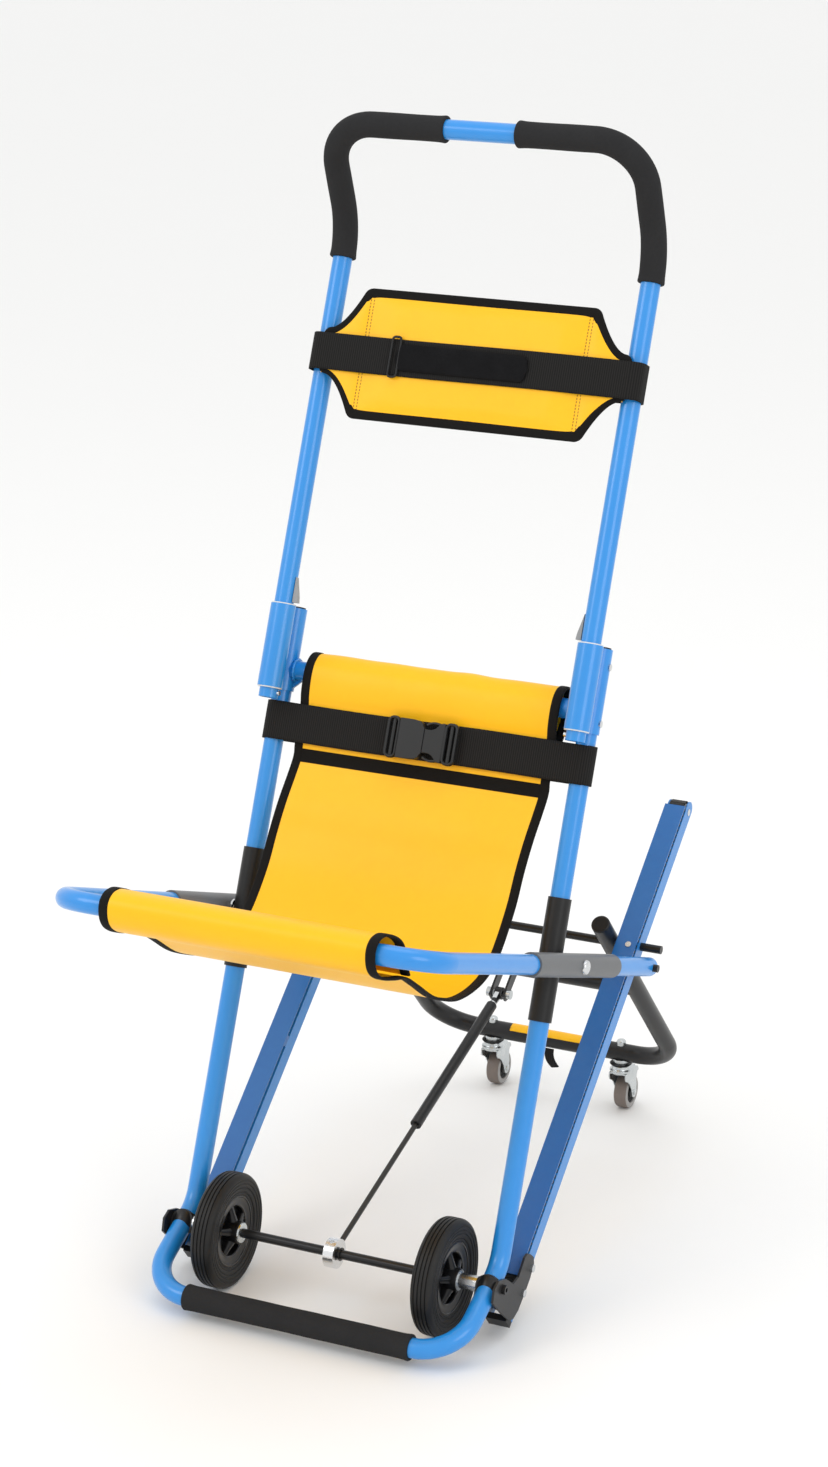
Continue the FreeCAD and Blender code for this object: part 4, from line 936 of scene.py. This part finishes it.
# strut: flat eye between the fork ears, a neck, and a crimp line near the cylinder's open end
strutRise = math.radians(18.1)
strutAxis = (0.0, math.cos(strutRise), math.sin(strutRise))
neck = np.array([(506.0, 3.4), (508.0, 5.2), (511.0, 5.2), (513.0, 3.6), (522.0, 3.6), (522.0, 0.4)]) * mm
piece("strut_eye", [skin(turned(neck, axleAt, 24, strutAxis), wrapRows=True, capCols=True),
        slab([(518, -5.2), (528, -6.6), (536, -6.2), (540.6, -3.2), (541.6, 0), (540.6, 3.2), (536, 6.2), (528, 6.6),
        (518, 5.2)], 6.0,
        axleAt, strutAxis, (0.0, -strutAxis[2], strutAxis[1]))], "steelBright", "strut_cylinder")
crimp = np.array([(252.0, 4.2), (251.4, 6.6), (252.6, 7.7), (266.0, 7.75), (266.6, 7.2), (267.6, 7.2), (268.2, 7.7),
        (270.0, 7.6), (270.0, 4.2)]) * mm
piece("strut_crimp", spun(crimp, axleAt, 36, strutAxis), "steelBlack", "strut_cylinder")

# retaining rings on both sides of the strut's collar
clip = np.array([(9.2, 6.2), (9.2, 8.6), (10.6, 8.6), (10.6, 6.2)]) * mm
piece("axle_clip", [spun(clip * (way, 1), axleAt, 32) for way in rightAndLeft], "steelBlack", "rail_frame")

# weld beads where the crossbar meets the guides: lumpy rings
bead = np.linspace(0, 2 * math.pi, 60, endpoint=False)
beads = []
for side in rightAndLeft:
    radius = 13.6 + 0.5 * np.sin(bead * 17)
    ringPath = leaned(side * 198.5, 22 + radius * np.cos(bead), 724 + radius * np.sin(bead))
    beads.append(swept(ringPath, ovalRing(2.4 * mm, 2.2 * mm, 10), (1, 0, 0), closed=True))
piece("crossbar_welds", beads, "frameBlue", "main_frame")

rib = {"low": 41, "high": 748, "count": 178, "wide": 13.4, "narrow": 11.7, "inner": 10.2, "front": 47.2, "back": 51.7}


# toothed edge of the belt in the gap under each rail cover: half width = wide on a rib, narrow between two
def beltRibs(side):
    at = np.repeat(np.linspace(rib["low"], rib["high"], rib["count"]), 2)
    half = np.where(np.arange(len(at)) // 2 % 2 == 0, rib["wide"], rib["narrow"])
    half = np.concatenate([half[1:], half[-1:]])
    inner = np.full(len(at), rib["inner"])
    across = side * legAcross + np.stack([-inner, half, half, -inner], -1) * side
    behind = np.array([rib["front"], rib["front"], rib["back"], rib["back"]])
    return skin(leaned(across, behind, at[:, None], railLean), wrapCols=True, capRows=True)


piece("belt_ribs", [beltRibs(side) for side in rightAndLeft], "tyreRubber", "rail_frame")

# band round the front of each leg at the axle: half a ring, then straight ears back past the axle
turn = np.radians(np.linspace(0, 180, 33))
bandLine = np.vstack([[(1.0, -0.75)], np.stack([np.cos(turn), np.sin(turn)], -1), [(-1.0, -0.75)]])
legAhead, legUp = np.array((0, -0.6926, -0.7213)), np.array((0, -0.7213, 0.6926))
bands = []
for side in rightAndLeft:
    centre = np.asarray(axleAt) + (side * legAcross * mm, 0, 0)
    section = ((12.9, -9), (12.9, 9), (14.6, 9), (15.1, 7.6), (15.1, -7.6), (14.6, -9))
    ring = [centre + bandLine[:, :1] * radius * mm * (1, 0, 0) + bandLine[:, 1:] * radius * mm * legUp + place * mm * legAhead
            for radius, place in section]
    bands.append(skin(np.stack(ring, 1), wrapCols=True, capRows=True))
piece("saddle_bands", bands, "steelBlack", "main_frame")


barCloth = {"y": 0.4677, "z": 0.09287, "left": -69, "right": 42, "rear": 62, "front": 150, "radius": 12.95}


# strip over the front and top of the carriage bar: y = bar + radius * cos turn, z = bar + radius * sin turn
def barStrip():
    x = np.linspace(barCloth["left"], barCloth["right"], 60)[:, None] * mm
    t = np.radians(np.linspace(barCloth["rear"], barCloth["front"], 14))[None]
    r = barCloth["radius"] * mm
    points = joined(x, barCloth["y"] + r * np.cos(t), barCloth["z"] + r * np.sin(t))
    uv = joined(x, t * r)
    return skin(points, uv=uv)


thickened(piece("bar_strip", barStrip(), "hammockCloth", "carriage", closed=False), 0.3, 1.0)
tabLine = np.array([(-0.006, 0.4560, 0.0830), (-0.006, 0.4548, 0.074), (-0.004, 0.4552, 0.066), (-0.001, 0.4575, 0.059),
        (0.001, 0.4605, 0.054)])
tabPath = smoothLine(tabLine, 24)
piece("bar_strap_tab", swept(tabPath, ovalRing(1.2 * mm, 7.0 * mm, 14, 3.4), (1, 0, 0)), "webBlack", "carriage")
print("hardware done")

flat = np.stack(np.meshgrid(np.linspace(-30, 30, 3), np.linspace(-30, 30, 3), indexing="ij") + [np.zeros((3, 3))], -1)
finishes["paleFloor"] = grained("paleFloor", "f4f4f3", "efefee", 0.7, 0.1, 0.6, 40, 0.02)
floor = piece("floor", skin(flat), "paleFloor", None, closed=False)

scene = bpy.context.scene
scene.view_settings.view_transform = "Standard"
world = bpy.data.worlds.new("studio")
world.use_nodes = True
world.node_tree.nodes["Background"].inputs[0].default_value = (1.0, 1.0, 1.0, 1)
world.node_tree.nodes["Background"].inputs[1].default_value = 1.0
scene.world = world
lamps = [  # name, place, aimed at, width, power
    ("key", (-2.6, -2.8, 3.4), (0, 0, 0.7), 2.2, 37),
    ("fill", (3.2, -1.6, 2.2), (0, 0, 0.7), 2.0, 22),
    ("top", (0.2, 0.6, 4.0), (0, 0, 0.6), 2.6, 18),
]
for name, place, target, width, power in lamps:
    lamp = bpy.data.lights.new(name, "AREA")
    lamp.shape = "DISK"
    lamp.size = width
    lamp.energy = power
    thing = bpy.data.objects.new(name, lamp)
    thing.location = place
    away = np.array(place, float) - np.array(target, float)
    thing.rotation_euler = (math.acos(away[2] / np.linalg.norm(away)), 0, math.atan2(away[1], away[0]) + math.pi / 2)
    scene.collection.objects.link(thing)

lens = bpy.data.cameras.new("camera")
lens.lens = 84.66
lens.sensor_width = 36
camera = bpy.data.objects.new("camera", lens)
camera.location = (1.7842, -3.7585, 2.0369)
camera.rotation_euler = (math.radians(72.09), 0, math.radians(25.45))
scene.collection.objects.link(camera)
scene.camera = camera
